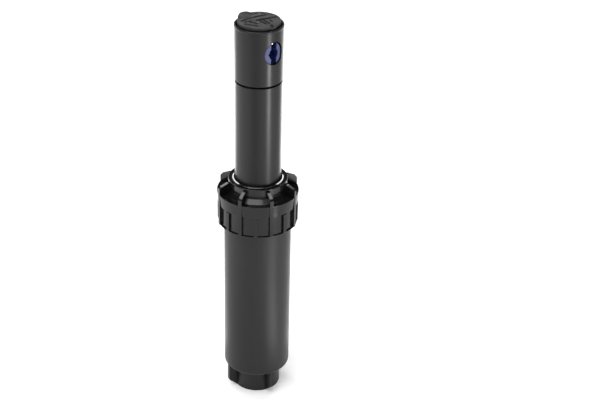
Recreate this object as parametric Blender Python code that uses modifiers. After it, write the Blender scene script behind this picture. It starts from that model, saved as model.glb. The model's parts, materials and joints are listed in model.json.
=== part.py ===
"""Pop up sprinkler, a gear driven rotor shown with its riser up.

Metres, +Z up. The origin is the centre of the inlet's lower rim, every main piece turns
on the Z axis, and the nozzle looks along -Y. An azimuth is measured from -Y toward +X.
"""

import math

import bmesh
import bpy

# Clearance between pieces that touch on the real sprinkler
FIT = 0.0003
RUNNING_FIT = 0.0004

# Facets around a turned piece
OUTER_STEPS = 40
INNER_STEPS = 20
ROD_STEPS = 10
BALL_STEPS = 16
HOLE_STEPS = 9

# Body case with its threaded inlet
INLET_RADIUS = 0.0177
INLET_HEIGHT = 0.0192
INLET_BORE = 0.0121
INLET_DEPTH = 0.0160
THROAT_RADIUS = 0.0095
FLOOR_THICKNESS = 0.0023
BODY_RADIUS = 0.0248
BODY_WALL = 0.0021
BODY_LENGTH = 0.1448
BODY_EDGE = 0.0023
FIN_COUNT = 4
FIN_AZIMUTH = -12.4
FIN_THICKNESS = 0.0030
FIN_INSET = 0.0003
FIN_RISE = 0.0065
FIN_ROOT_SHARE = 0.8
SPLINE_COUNT = 4
SPLINE_WIDTH = 0.0020
SPLINE_DEPTH = 0.0009

# Thread between the body and the cap, drawn as rings
THREAD_RINGS = 3
THREAD_PITCH = 0.0036
THREAD_DEPTH = 0.0014
THREAD_ROOT = 0.0017
THREAD_TIP = 0.0008
THREAD_FROM_TOP = 0.0073

# Cap screwed on the body
CAP_HEIGHT = 0.0353
CAP_HEAD = 0.0134
CAP_WALL = 0.0028
CAP_SHOULDER = 0.0032
CAP_LIP_WIDTH = 0.0008
CAP_LIP_HEIGHT = 0.0004
CAP_FLARE = 0.0007
CAP_EDGE = 0.0006
BAND_HEIGHT = 0.0092
PANEL_RECESS = 0.0007
COLLAR_WALL = 0.0027
COLLAR_HEIGHT = 0.0070
MAIN_RIBS = 8
MAIN_RIB_AZIMUTH = -20.7
RIB_WIDTH = 0.0029
RIB_PROUD = 0.0008
RIB_DROP = 0.0032
RIB_CORNER = 0.0015
SIDE_RIB_PROUD = 0.0003

# Wiper seal, spring seat, retract spring and ratchet ring round the riser
SEAL_FLANGE = 0.0020
SEAL_LIP = 0.0012
SEAL_LIP_HEIGHT = 0.0132
SEAT_HEIGHT = 0.0024
SPRING_SHUT = 0.0136
SPRING_WIRE = 0.0014
SPRING_TURNS = 6
SPRING_POINTS = 10
RATCHET_HEIGHT = 0.0032

# Riser that slides in the body
RISER_RADIUS = 0.0170
RISER_WALL = 0.0020
RISER_FLANGE = 0.0025
RISER_LENGTH = 0.1154
RISER_PLATE = 0.0056
BEARING_WALL = 0.0016

# Filter, stator and turbine at the foot of the riser, as heights above the riser's base
FILTER_TOP = 0.0140
FILTER_RIM = 0.0020
FILTER_FLOOR = 0.0012
FILTER_WALL = 0.0010
FILTER_GAP = 0.0025
FILTER_SLOTS = 6
FILTER_SLOT_WIDTH = 0.0022
STATOR_BASE = 0.0150
STATOR_HEIGHT = 0.0030
STATOR_PORTS = 8
STATOR_PORT_RADIUS = 0.0016
TURBINE_BASE = 0.0190
TURBINE_HEIGHT = 0.0050
TURBINE_BLADES = 10
TURBINE_TIP_GAP = 0.0025
TURBINE_BLADE_LENGTH = 0.0060
SHAFT_RADIUS = 0.0009

# Gear case and its train of compound gears
CASE_BASE = 0.0255
CASE_BASE_HEIGHT = 0.0025
CASE_FLOW_GAP = 0.0012
CASE_WALL = 0.0015
CASE_PLATE = 0.0025
CASE_PLATE_BELOW_TOP = 0.0155
CASE_WINDOW_WIDTH = 0.0140
CASE_WINDOW_MARGIN = 0.0014
CASE_NOTCHES = 8
CASE_NOTCH_RADIUS = 0.0012
GEAR_SIDE_GAP = 0.0003
TRAIN_BASE = 0.0300
TRAIN_STEP = 0.0090
GEAR_FACE = 0.0040
PINION_REACH = 0.0005
TURBINE_PINION_TEETH = 8
FIRST_WHEEL_TEETH = 13
WHEEL_TEETH = 26
PINION_TEETH = 9
OUTPUT_TEETH = 30
COMPOUND_GEARS = 4
ADDENDUM = 0.80
DEDENDUM = 1.20
FLANK_SLOPE = 0.36
BACKLASH = 0.28
ARBOR_RADIUS = 0.0008
OUTPUT_RIM = 0.0012
OUTPUT_WEB = 0.0022
OUTPUT_STUB = 0.0045

# Hollow output shaft that turns the turret
OUTPUT_SHAFT_RADIUS = 0.0060
OUTPUT_SHAFT_WALL = 0.0014
SHAFT_SOCKET = 0.0085
SHAFT_COLLAR = 0.0026
SHAFT_COLLAR_HEIGHT = 0.0015
SHAFT_WINDOW_WIDTH = 0.0040
SHAFT_WINDOW_HEIGHT = 0.0070
WASHER_HEIGHT = 0.0010

# Trip lever that the turret's stops throw over
TRIP_RADIUS = 0.0103
TRIP_AZIMUTH = 180.0
TRIP_SHAFT = 0.0012
TRIP_FINGER = 0.0034
TRIP_FINGER_HEIGHT = 0.0014
TRIP_ARM = 0.0042
TRIP_ARM_DROP = 0.0040
TRIP_WIDTH = 0.0022
TRIP_LEAN = 12.0

# Turret on top of the riser
SEAM = 0.0009
TURRET_PROUD = 0.0002
TURRET_HEIGHT = 0.0417
TURRET_WALL = 0.0022
TURRET_LIP = 0.0004
TURRET_LIP_HEIGHT = 0.0018
RIM_WALL = 0.0011
RIM_DEPTH = 0.0060
DECK_HEIGHT = 0.0026
STOP_WIDTH = 0.0030
STOP_HEIGHT = 0.0024
STOP_LIFT = 0.0013
STOP_REACH = 0.0017
FACET_DEPTH = 0.0008
FACET_TILT = 2.0

# Flow elbow and nozzle, with the nozzle's axis tilted up
NOZZLE_BELOW_TOP = 0.0170
NOZZLE_TILT = 25.0
NOZZLE_BORE = 0.0073
NOZZLE_RIM = 0.0036
NOZZLE_LENGTH = 0.0090
NOZZLE_CUP = 0.0052
NOZZLE_PORT = 0.0021
NOZZLE_SIDE_PORT = 0.0008
NOZZLE_SIDE_OFFSET = 0.0046
NOZZLE_SLOT = 0.0048
ELBOW_WALL = 0.0013
ELBOW_FOOT = 0.0009
ELBOW_FOOT_HEIGHT = 0.0017

# Arc adjustment: a ring with a stop, turned by a screw under the cover
ARC_MODULE = 0.0005
ARC_RING_TEETH = 38
ARC_SCREW_TEETH = 8
ARC_SCREW_AZIMUTH = 130.0
ARC_SCREW_RADIUS = 0.0014
ARC_RING_LIFT = 0.0037
ARC_RING_HEIGHT = 0.0040
ARC_STOP_REACH = 0.0033
ARC_STOP_DROP = 0.0021
ARC_STOP_AZIMUTH = -90.0
SLOT_WIDTH = 0.0007
SLOT_DEPTH = 0.0008

# Radius screw over the nozzle
RADIUS_SCREW_RADIUS = 0.0012
RADIUS_SCREW_LENGTH = 0.0081

# Rubber cover
COVER_HEIGHT = 0.0054
COVER_CROWN = 0.0014
CROWN_HALFWAY = 0.75
COVER_EDGE = 0.0011
COVER_HUMP = 0.0014
COVER_HUMP_RADIUS = 0.0060
COVER_HUMP_OFFSET = 0.0095
COVER_HUMP_AZIMUTH = 190.0
COVER_HOLE = 0.0013
COVER_NOTCH_WIDTH = 0.0060
COVER_NOTCH_TILT = 55.0

# Heights along the axis, from the inlet upward
floor_z = INLET_HEIGHT + FLOOR_THICKNESS
body_top = INLET_HEIGHT + BODY_LENGTH
seal_base = body_top + FIT
seal_top = seal_base + SEAL_FLANGE
cap_seat = seal_top + FIT
cap_top = cap_seat + CAP_HEAD
cap_base = cap_top - CAP_HEIGHT
seat_base = body_top - SEAT_HEIGHT
ratchet_top = seat_base - SPRING_SHUT
ratchet_base = ratchet_top - RATCHET_HEIGHT
flange_top = ratchet_base - FIT
riser_base = flange_top - RISER_FLANGE
riser_top = riser_base + RISER_LENGTH
plate_base = riser_top - RISER_PLATE
case_top = plate_base - FIT
case_plate_top = case_top - CASE_PLATE_BELOW_TOP + CASE_PLATE
turret_base = riser_top + SEAM
turret_top = turret_base + TURRET_HEIGHT
ledge_z = turret_top - RIM_DEPTH
deck_top = ledge_z + FIT + DECK_HEIGHT
cover_base = deck_top + FIT

# Radii that follow from the fits
body_bore = BODY_RADIUS - BODY_WALL
spline_bore = body_bore - SPLINE_DEPTH
cap_bore = BODY_RADIUS + THREAD_DEPTH + RUNNING_FIT
skirt_radius = cap_bore + CAP_WALL
turret_radius = RISER_RADIUS + TURRET_PROUD
seal_bore = turret_radius + RUNNING_FIT
collar_bore = seal_bore + SEAL_LIP + FIT
collar_radius = collar_bore + COLLAR_WALL
riser_bore = RISER_RADIUS - RISER_WALL
insert_radius = riser_bore - FIT
case_radius = riser_bore - CASE_FLOW_GAP
case_bore = case_radius - CASE_WALL
shaft_bore = OUTPUT_SHAFT_RADIUS - OUTPUT_SHAFT_WALL
bearing_bore = OUTPUT_SHAFT_RADIUS + FIT
plate_bore = bearing_bore + BEARING_WALL + FIT
turret_bore = turret_radius - TURRET_WALL
rim_bore = turret_radius - RIM_WALL
deck_radius = rim_bore - FIT
elbow_foot_bore = OUTPUT_SHAFT_RADIUS + FIT
elbow_radius = elbow_foot_bore + ELBOW_WALL
elbow_head = NOZZLE_BORE + ELBOW_WALL
nozzle_radius = NOZZLE_BORE - FIT

# The train fills the gear case: both arbors stand one first mesh from the axis
train_reach = (TURBINE_PINION_TEETH + FIRST_WHEEL_TEETH + WHEEL_TEETH) / 2 + ADDENDUM
module = (case_bore - GEAR_SIDE_GAP) / train_reach
arbor_offset = module * (TURBINE_PINION_TEETH + FIRST_WHEEL_TEETH) / 2
arbor_spacing = module * (WHEEL_TEETH + PINION_TEETH) / 2
arbor_half_angle = math.asin(arbor_spacing / 2 / arbor_offset)
arbor_angles = (math.pi / 2 + arbor_half_angle, math.pi / 2 - arbor_half_angle)

# The nozzle's axis meets the turret's axis here
nozzle_tilt = math.radians(NOZZLE_TILT)
elbow_z = turret_top - NOZZLE_BELOW_TOP - turret_radius * math.tan(nozzle_tilt)
nozzle_face = (turret_radius - nozzle_radius * math.sin(nozzle_tilt)) / math.cos(nozzle_tilt) - FIT

parts = bpy.data.collections.new("pop_up_sprinkler")
cutters = bpy.data.collections.new("pop_up_sprinkler_cutters")


def clear_scene():
    """Empty the scene and link the two collections."""
    for item in list(bpy.data.objects):
        bpy.data.objects.remove(item, do_unlink=True)
    for collection in (parts, cutters):
        bpy.context.scene.collection.children.link(collection)


def plastic(name, colour, roughness, metallic=0.0):
    """A Principled material of one colour."""
    material = bpy.data.materials.new(name)
    material.use_nodes = True
    shader = material.node_tree.nodes["Principled BSDF"]
    shader.inputs["Base Color"].default_value = (*colour, 1.0)
    shader.inputs["Roughness"].default_value = roughness
    shader.inputs["Metallic"].default_value = metallic
    return material


def heading(azimuth):
    """The angle from +X, in radians, of an azimuth in degrees from -Y toward +X."""
    return math.radians(azimuth - 90.0)


def polar(radius, angle):
    """A point in the XY plane."""
    return radius * math.cos(angle), radius * math.sin(angle)


def arc(centre, radius, start, end, count):
    """Points of an arc from start to end degrees, both ends included."""
    points = []
    for step in range(count + 1):
        angle = math.radians(start + (end - start) * step / count)
        points.append((centre[0] + radius * math.cos(angle), centre[1] + radius * math.sin(angle)))
    return points


def turned(name, profile, steps=INNER_STEPS):
    """A closed (radius, height) profile, its outer side running down, turned about Z."""
    mesh = bpy.data.meshes.new(name)
    count = len(profile)
    edges = [(i, (i + 1) % count) for i in range(count)]
    mesh.from_pydata([(radius, 0.0, z) for radius, z in profile], edges, [])
    item = bpy.data.objects.new(name, mesh)
    parts.objects.link(item)
    screw = item.modifiers.new("turn", "SCREW")
    screw.axis = "Z"
    screw.angle = math.tau
    screw.steps = steps
    screw.render_steps = steps
    screw.use_merge_vertices = True
    screw.merge_threshold = 0.000001
    screw.use_smooth_shade = False
    return item


def ring(name, outer, inner, base, top, steps=INNER_STEPS):
    """A plain turned ring."""
    return turned(name, [(outer, top), (outer, base), (inner, base), (inner, top)], steps)


def rod(name, radius, base, top, steps=ROD_STEPS):
    """A solid cylinder along Z."""
    mesh = bpy.data.meshes.new(name)
    bm = bmesh.new()
    bmesh.ops.create_cone(
        bm, cap_ends=True, segments=steps, radius1=radius, radius2=radius, depth=top - base
    )
    bmesh.ops.translate(bm, verts=bm.verts, vec=(0.0, 0.0, (base + top) / 2))
    bm.to_mesh(mesh)
    bm.free()
    item = bpy.data.objects.new(name, mesh)
    parts.objects.link(item)
    return item


def ball(name, radius, centre):
    """A sphere."""
    mesh = bpy.data.meshes.new(name)
    bm = bmesh.new()
    bmesh.ops.create_uvsphere(bm, u_segments=BALL_STEPS, v_segments=BALL_STEPS // 2, radius=radius)
    bmesh.ops.translate(bm, verts=bm.verts, vec=centre)
    bm.to_mesh(mesh)
    bm.free()
    item = bpy.data.objects.new(name, mesh)
    parts.objects.link(item)
    return item


def block(name, lows, highs):
    """A box between two corners."""
    mesh = bpy.data.meshes.new(name)
    bm = bmesh.new()
    bmesh.ops.create_cube(bm, size=1.0)
    size = [high - low for low, high in zip(lows, highs)]
    middle = [(high + low) / 2 for low, high in zip(lows, highs)]
    bmesh.ops.scale(bm, verts=bm.verts, vec=size)
    bmesh.ops.translate(bm, verts=bm.verts, vec=middle)
    bm.to_mesh(mesh)
    bm.free()
    item = bpy.data.objects.new(name, mesh)
    parts.objects.link(item)
    return item


def sheet(name, outlines, thickness):
    """Flat outlines, the first one outside, extruded both ways along Z and made a mesh."""
    curve = bpy.data.curves.new(name, "CURVE")
    curve.dimensions = "2D"
    curve.fill_mode = "BOTH"
    curve.extrude = thickness / 2
    for outline in outlines:
        spline = curve.splines.new("POLY")
        spline.points.add(len(outline) - 1)
        for point, (x, y) in zip(spline.points, outline):
            point.co = (x, y, 0.0, 1.0)
        spline.use_cyclic_u = True
    guide = bpy.data.objects.new(name + "_outline", curve)
    parts.objects.link(guide)
    graph = bpy.context.evaluated_depsgraph_get()
    mesh = bpy.data.meshes.new_from_object(guide.evaluated_get(graph))
    bpy.data.objects.remove(guide, do_unlink=True)
    bm = bmesh.new()
    bm.from_mesh(mesh)
    bmesh.ops.remove_doubles(bm, verts=bm.verts, dist=0.000001)
    bmesh.ops.recalc_face_normals(bm, faces=bm.faces)
    bm.to_mesh(mesh)
    bm.free()
    mesh.name = name
    item = bpy.data.objects.new(name, mesh)
    parts.objects.link(item)
    return item


def slab(name, outlines, base, top):
    """Flat outlines extruded from base to top along Z."""
    item = sheet(name, outlines, top - base)
    item.location.z = (base + top) / 2
    return item


def radial_plate(name, outline, thickness, azimuth):
    """A (radius, height) outline as a plate that stands along one azimuth."""
    item = sheet(name, [outline], thickness)
    item.rotation_euler = (math.pi / 2, 0.0, heading(azimuth))
    return item


def radial_block(name, radii, width, heights, azimuth):
    """A box between two radii and two heights, along one azimuth."""
    lows = (radii[0], -width / 2, heights[0])
    highs = (radii[1], width / 2, heights[1])
    item = block(name, lows, highs)
    item.rotation_euler.z = heading(azimuth)
    return item


def combine(target, tools, operation):
    """Join tools to a target, or cut them from it, with exact Boolean modifiers."""
    for tool in tools:
        parts.objects.unlink(tool)
        cutters.objects.link(tool)
        tool.hide_render = True
        tool.display_type = "WIRE"
        boolean = target.modifiers.new(tool.name, "BOOLEAN")
        boolean.operation = operation
        boolean.solver = "EXACT"
        boolean.object = tool
    return target


def join(target, *tools):
    """Union of a target and its tools."""
    return combine(target, tools, "UNION")


def cut(target, *tools):
    """Target less its tools."""
    return combine(target, tools, "DIFFERENCE")


def place(item, angle, radius):
    """Put an object's own axis at a point round the main axis."""
    item.location.x, item.location.y = polar(radius, angle)
    return item


def tilt(item):
    """Turn an object made along Z onto the nozzle's axis."""
    item.location = (0.0, 0.0, elbow_z)
    item.rotation_euler.x = math.pi / 2 - nozzle_tilt
    return item


def thread_rings(radius, depth, first, order):
    """Profile points of ring threads that stand depth out of radius, in the order of travel."""
    points = []
    for index in range(THREAD_RINGS):
        z = first + order * index * THREAD_PITCH
        points.append((radius, z - order * THREAD_ROOT / 2))
        points.append((radius + depth, z - order * THREAD_TIP / 2))
        points.append((radius + depth, z + order * THREAD_TIP / 2))
        points.append((radius, z + order * THREAD_ROOT / 2))
    return points


def gear_outline(teeth, gear_module, phase, inward=False):
    """A toothed outline with straight flanks, one tooth centred on the phase angle."""
    sign = -1 if inward else 1
    pitch_radius = gear_module * teeth / 2
    half_pitch_tooth = gear_module * (math.pi / 2 - BACKLASH) / 2
    rows = []
    for height in (-DEDENDUM, ADDENDUM):
        radius = pitch_radius + sign * height * gear_module
        half_width = half_pitch_tooth - height * gear_module * FLANK_SLOPE
        rows.append((radius, half_width / pitch_radius))
    (root_radius, root_half), (tip_radius, tip_half) = rows
    points = []
    for tooth in range(teeth):
        centre = phase + math.tau * tooth / teeth
        points.append(polar(root_radius, centre - root_half))
        points.append(polar(tip_radius, centre - tip_half))
        points.append(polar(tip_radius, centre + tip_half))
        points.append(polar(root_radius, centre + root_half))
    return points


def circle(radius, count):
    """A round outline."""
    return [polar(radius, math.tau * i / count) for i in range(count)]


def outer_mesh_phase(phase, teeth, follower_teeth, line):
    """Phase of a gear that meshes outside another, which lies back along the line angle."""
    share = (line - phase) / (math.tau / teeth)
    return line + math.pi - math.tau / follower_teeth * (0.5 - share)


def inner_mesh_phase(phase, teeth, follower_teeth, line):
    """Phase of a pinion that meshes inside a ring along the line angle."""
    share = (line - phase) / (math.tau / teeth)
    return line - math.tau / follower_teeth * (share - 0.5)


def line_angle(start, end):
    """Angle of the line between two arbors."""
    x0, y0 = polar(arbor_offset, arbor_angles[start])
    x1, y1 = polar(arbor_offset, arbor_angles[end])
    return math.atan2(y1 - y0, x1 - x0)


def train_phases():
    """Phase of the turbine's pinion and of each compound gear, worked back from the output ring."""
    phases = {COMPOUND_GEARS: inner_mesh_phase(0.0, OUTPUT_TEETH, PINION_TEETH, arbor_angles[1])}
    for number in range(COMPOUND_GEARS - 1, 0, -1):
        line = line_angle(number % 2, 1 - number % 2)
        phases[number] = outer_mesh_phase(phases[number + 1], WHEEL_TEETH, PINION_TEETH, line)
    turbine = outer_mesh_phase(
        phases[1], FIRST_WHEEL_TEETH, TURBINE_PINION_TEETH, arbor_angles[0] + math.pi
    )
    return turbine, phases


def make_body_case():
    """Body with its bored inlet, thread rings, gusset fins and inner splines."""
    edge_centre = (BODY_RADIUS - BODY_EDGE, INLET_HEIGHT + BODY_EDGE)
    profile = [(BODY_RADIUS, body_top)]
    profile += thread_rings(BODY_RADIUS, THREAD_DEPTH, body_top - THREAD_FROM_TOP, -1)
    profile += arc(edge_centre, BODY_EDGE, 0, -90, 4)
    profile += [(INLET_RADIUS, INLET_HEIGHT), (INLET_RADIUS, 0.0), (INLET_BORE, 0.0)]
    profile += [(INLET_BORE, INLET_DEPTH), (THROAT_RADIUS, INLET_DEPTH), (THROAT_RADIUS, floor_z)]
    profile += [(body_bore, floor_z), (body_bore, body_top)]
    body = turned("body_case", profile, OUTER_STEPS)
    fin_radius = BODY_RADIUS - FIN_INSET
    fin_root = (INLET_RADIUS + INLET_BORE) / 2
    fin_top = INLET_HEIGHT + FLOOR_THICKNESS * FIN_ROOT_SHARE
    outline = [(fin_root, FIT), (INLET_RADIUS, FIT), (fin_radius, FIN_RISE)]
    outline += [(fin_radius, fin_top), (fin_root, fin_top)]
    for index in range(FIN_COUNT):
        azimuth = FIN_AZIMUTH + 360.0 * index / FIN_COUNT
        join(body, radial_plate(f"body_fin_{index}", outline, FIN_THICKNESS, azimuth))
    spline_radii = (spline_bore, body_bore + BODY_WALL / 2)
    spline_heights = (floor_z - FLOOR_THICKNESS / 2, seat_base - FIT)
    for index in range(SPLINE_COUNT):
        azimuth = 360.0 * index / SPLINE_COUNT
        name = f"body_spline_{index}"
        join(body, radial_block(name, spline_radii, SPLINE_WIDTH, spline_heights, azimuth))
    return body


def make_body_cap():
    """Cap with its thread, its collar and the ribs that a hand turns it by."""
    skirt_top = cap_seat + CAP_SHOULDER + CAP_LIP_HEIGHT
    pocket_floor = cap_seat + CAP_SHOULDER
    cone_top = cap_top - COLLAR_HEIGHT
    cone_foot = collar_radius + cone_top - pocket_floor
    band_base = skirt_top - BAND_HEIGHT
    panel_radius = skirt_radius - PANEL_RECESS
    lip_radius = skirt_radius + CAP_FLARE
    first_ring = body_top - THREAD_FROM_TOP + THREAD_PITCH / 2
    first_ring -= THREAD_PITCH * (THREAD_RINGS - 1)
    profile = [(collar_bore + CAP_EDGE, cap_top), (collar_radius - CAP_EDGE, cap_top)]
    profile += [(collar_radius, cap_top - CAP_EDGE), (collar_radius, cone_top)]
    profile += [(cone_foot, pocket_floor), (lip_radius - 2 * CAP_LIP_WIDTH, pocket_floor)]
    profile += [(lip_radius - CAP_LIP_WIDTH, skirt_top), (lip_radius, skirt_top - CAP_EDGE)]
    profile += [(skirt_radius, band_base), (panel_radius, band_base - PANEL_RECESS)]
    profile += [(panel_radius, cap_base + CAP_EDGE), (panel_radius - CAP_EDGE, cap_base)]
    profile += [(cap_bore, cap_base)]
    profile += thread_rings(cap_bore, -THREAD_DEPTH, first_ring, 1)
    profile += [(cap_bore, cap_seat), (collar_bore, cap_seat), (collar_bore, cap_top - CAP_EDGE)]
    cap = turned("body_cap", profile, OUTER_STEPS)
    rib_root = cap_bore + CAP_WALL / 2
    collar_root = collar_bore + COLLAR_WALL / 2
    rib_radius = skirt_radius + RIB_PROUD
    rib_top = cap_top - 2 * CAP_EDGE
    corner = (rib_radius - RIB_CORNER, rib_top - RIB_DROP - RIB_CORNER)
    tall = [(collar_root, rib_top), (collar_radius + RIB_CORNER, rib_top)]
    tall += arc(corner, RIB_CORNER, 75, 0, 3)
    tall += [(rib_radius, cap_base + CAP_EDGE), (rib_root, cap_base + CAP_EDGE)]
    tall += [(rib_root, cap_seat + CAP_SHOULDER / 2), (collar_root, cap_seat + CAP_SHOULDER / 2)]
    step = 360.0 / MAIN_RIBS
    side_radii = (rib_root, skirt_radius + SIDE_RIB_PROUD)
    side_heights = (cap_base + CAP_EDGE, band_base)
    for index in range(MAIN_RIBS):
        azimuth = MAIN_RIB_AZIMUTH + step * index
        join(cap, radial_plate(f"cap_rib_{index}", tall, RIB_WIDTH, azimuth))
        name = f"cap_side_rib_{index}"
        join(cap, radial_block(name, side_radii, RIB_WIDTH, side_heights, azimuth + step / 2))
    return cap


def make_wiper_seal():
    """Rubber seal: a flange clamped under the cap and a lip that wipes the riser."""
    lip_top = seal_base + SEAL_LIP_HEIGHT
    lip_radius = seal_bore + SEAL_LIP
    flange_radius = BODY_RADIUS - FIT
    profile = [(lip_radius, lip_top), (lip_radius, seal_top), (flange_radius, seal_top)]
    profile += [(flange_radius, seal_base), (seal_bore, seal_base), (seal_bore, lip_top)]
    return turned("wiper_seal", profile)


def make_retract_spring():
    """Spring shut between the ratchet ring and the seat, with its least gap printed."""
    coil_radius = (RISER_RADIUS + spline_bore) / 2
    base = ratchet_top + FIT + SPRING_WIRE / 2
    top = seat_base - FIT - SPRING_WIRE / 2
    count = SPRING_TURNS * SPRING_POINTS
    points = []
    for step in range(count + 1):
        x, y = polar(coil_radius, math.tau * step / SPRING_POINTS)
        points.append((x, y, base + (top - base) * step / count))
    curve = bpy.data.curves.new("retract_spring", "CURVE")
    curve.dimensions = "3D"
    curve.bevel_depth = SPRING_WIRE / 2
    curve.bevel_resolution = 1
    curve.use_fill_caps = True
    spline = curve.splines.new("POLY")
    spline.points.add(count)
    for point, place_at in zip(spline.points, points):
        point.co = (*place_at, 1.0)
    item = bpy.data.objects.new("retract_spring", curve)
    parts.objects.link(item)
    gaps = []
    for first in range(count + 1):
        for second in range(first + SPRING_POINTS // 2, count + 1):
            gaps.append(math.dist(points[first], points[second]) - SPRING_WIRE)
    print(f"retract_spring least gap {min(gaps) * 1000:.2f} mm")
    return item


def make_ratchet_ring():
    """Ring keyed to the body's splines, on which the riser can be clicked round."""
    item = ring("ratchet_ring", body_bore - FIT, RISER_RADIUS + FIT, ratchet_base, ratchet_top)
    radii = (spline_bore - FIT, body_bore + BODY_WALL)
    heights = (ratchet_base - FIT, ratchet_top + FIT)
    for index in range(SPLINE_COUNT):
        azimuth = 360.0 * index / SPLINE_COUNT
        name = f"ratchet_key_{index}"
        cut(item, radial_block(name, radii, SPLINE_WIDTH + 2 * FIT, heights, azimuth))
    return item


def make_riser_tube():
    """Riser with its foot flange and the plate that carries the turret's bearing."""
    flange_radius = spline_bore - FIT
    profile = [(RISER_RADIUS, riser_top), (RISER_RADIUS, flange_top), (flange_radius, flange_top)]
    profile += [(flange_radius, riser_base), (riser_bore, riser_base), (riser_bore, plate_base)]
    profile += [(plate_bore, plate_base), (plate_bore, riser_top)]
    riser = turned("riser_tube", profile, OUTER_STEPS)
    hole = rod("trip_hole", TRIP_SHAFT + FIT, plate_base - FIT, riser_top + FIT, HOLE_STEPS)
    return cut(riser, place(hole, heading(TRIP_AZIMUTH), TRIP_RADIUS))


def make_filter_screen():
    """Slotted basket in the riser's foot."""
    basket = insert_radius - FILTER_GAP
    base = riser_base + FIT
    top = riser_base + FILTER_TOP
    inside = basket - FILTER_WALL
    profile = [(insert_radius, top), (insert_radius, top - FILTER_RIM), (basket, top - FILTER_RIM)]
    profile += [(basket, base), (0.0, base), (0.0, base + FILTER_FLOOR)]
    profile += [(inside, base + FILTER_FLOOR), (inside, top)]
    item = turned("filter_screen", profile)
    low = base + 2 * FILTER_FLOOR
    high = top - FILTER_RIM - FILTER_FLOOR
    for index in range(FILTER_SLOTS):
        azimuth = 180.0 * (index + 0.5) / FILTER_SLOTS
        name = f"filter_slot_{index}"
        cut(item, radial_block(name, (-basket - FIT, basket + FIT), FILTER_SLOT_WIDTH, (low, high), azimuth))
    return item


def make_stator_plate():
    """Ported plate that aims the water at the turbine and steadies its shaft."""
    base = riser_base + STATOR_BASE
    top = base + STATOR_HEIGHT
    item = ring("stator_plate", insert_radius, SHAFT_RADIUS + FIT, base, top)
    port_circle = turbine_tip() - TURBINE_BLADE_LENGTH / 2
    for index in range(STATOR_PORTS):
        port = rod(f"stator_port_{index}", STATOR_PORT_RADIUS, base - FIT, top + FIT, HOLE_STEPS)
        cut(item, place(port, math.tau * index / STATOR_PORTS, port_circle))
    return item


def turbine_tip():
    """Radius of the turbine's blade tips."""
    return riser_bore - TURBINE_TIP_GAP


def make_turbine_wheel():
    """Bladed wheel on the pinion shaft."""
    tip = turbine_tip()
    hub = tip - TURBINE_BLADE_LENGTH
    share = math.tau / TURBINE_BLADES
    outline = []
    for blade in range(TURBINE_BLADES):
        centre = share * blade
        outline += [polar(hub, centre - share / 6), polar(tip, centre - share / 12)]
        outline += [polar(tip, centre + share / 12), polar(hub, centre + share / 6)]
    base = riser_base + TURBINE_BASE
    bore = circle(SHAFT_RADIUS + FIT, ROD_STEPS)
    return slab("turbine_wheel", [outline, bore], base, base + TURBINE_HEIGHT)


def train_base(level):
    """Foot of a gear's face at a level of the train, the turbine's pinion being level 0."""
    return riser_base + TRAIN_BASE + TRAIN_STEP * level


def make_pinion_shaft(phase):
    """Turbine shaft with the first pinion cut on it."""
    base = train_base(0) - PINION_REACH
    top = train_base(0) + GEAR_FACE + PINION_REACH
    outline = gear_outline(TURBINE_PINION_TEETH, module, phase)
    pinion = slab("turbine_shaft", [outline], base, top)
    foot = riser_base + STATOR_BASE + FIT
    return join(pinion, rod("turbine_shaft_rod", SHAFT_RADIUS, foot, base + GEAR_FACE))


def make_compound_gear(number, phase):
    """A wheel and the next stage's pinion in one piece, running on an arbor."""
    teeth = FIRST_WHEEL_TEETH if number == 1 else WHEEL_TEETH
    base = train_base(number - 1)
    top = train_base(number) + GEAR_FACE + PINION_REACH
    wheel = slab(f"compound_gear_{number}", [gear_outline(teeth, module, phase)], base, base + GEAR_FACE)
    outline = gear_outline(PINION_TEETH, module, phase)
    pinion = slab(f"gear_{number}_pinion", [outline], base + GEAR_FACE / 2, top)
    bore = rod(f"gear_{number}_bore", ARBOR_RADIUS + FIT, base - FIT, top + FIT)
    for tool in (wheel, pinion, bore):
        place(tool, arbor_angles[1 - number % 2], arbor_offset)
    return cut(join(wheel, pinion), bore)


def make_arbor(name, index, last_gear):
    """Steel pin that carries every second compound gear."""
    base = riser_base + CASE_BASE + FIT
    top = train_base(last_gear) + GEAR_FACE + 2 * PINION_REACH
    return place(rod(name, ARBOR_RADIUS, base, top), arbor_angles[index], arbor_offset)


def make_gear_case_base():
    """Plate that closes the gear case, with arbor holes and notches for the water."""
    base = riser_base + CASE_BASE
    top = base + CASE_BASE_HEIGHT
    item = ring("gear_case_base", insert_radius, SHAFT_RADIUS + FIT, base, top)
    for index, angle in enumerate(arbor_angles):
        hole = rod(f"arbor_hole_{index}", ARBOR_RADIUS + FIT, base - FIT, top + FIT, ROD_STEPS)
        cut(item, place(hole, angle, arbor_offset))
    for index in range(CASE_NOTCHES):
        notch = rod(f"case_notch_{index}", CASE_NOTCH_RADIUS, base - FIT, top + FIT, HOLE_STEPS)
        cut(item, place(notch, math.tau * (index + 0.5) / CASE_NOTCHES, insert_radius))
    return item


def make_gear_case():
    """Gear case: a tube with a bearing plate, and legs between windows under the riser's plate."""
    foot = riser_base + CASE_BASE + CASE_BASE_HEIGHT + FIT
    plate_foot = case_plate_top - CASE_PLATE
    profile = [(case_radius, case_top), (case_radius, foot), (case_bore, foot)]
    profile += [(case_bore, plate_foot), (bearing_bore, plate_foot), (bearing_bore, case_plate_top)]
    profile += [(case_bore, case_plate_top), (case_bore, case_top)]
    item = turned("gear_case", profile)
    heights = (case_plate_top + CASE_WINDOW_MARGIN, case_top - CASE_WINDOW_MARGIN)
    reach = case_radius + FIT
    for index in range(2):
        name = f"case_window_{index}"
        cut(item, radial_block(name, (-reach, reach), CASE_WINDOW_WIDTH, heights, 90.0 * index))
    return item


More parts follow.
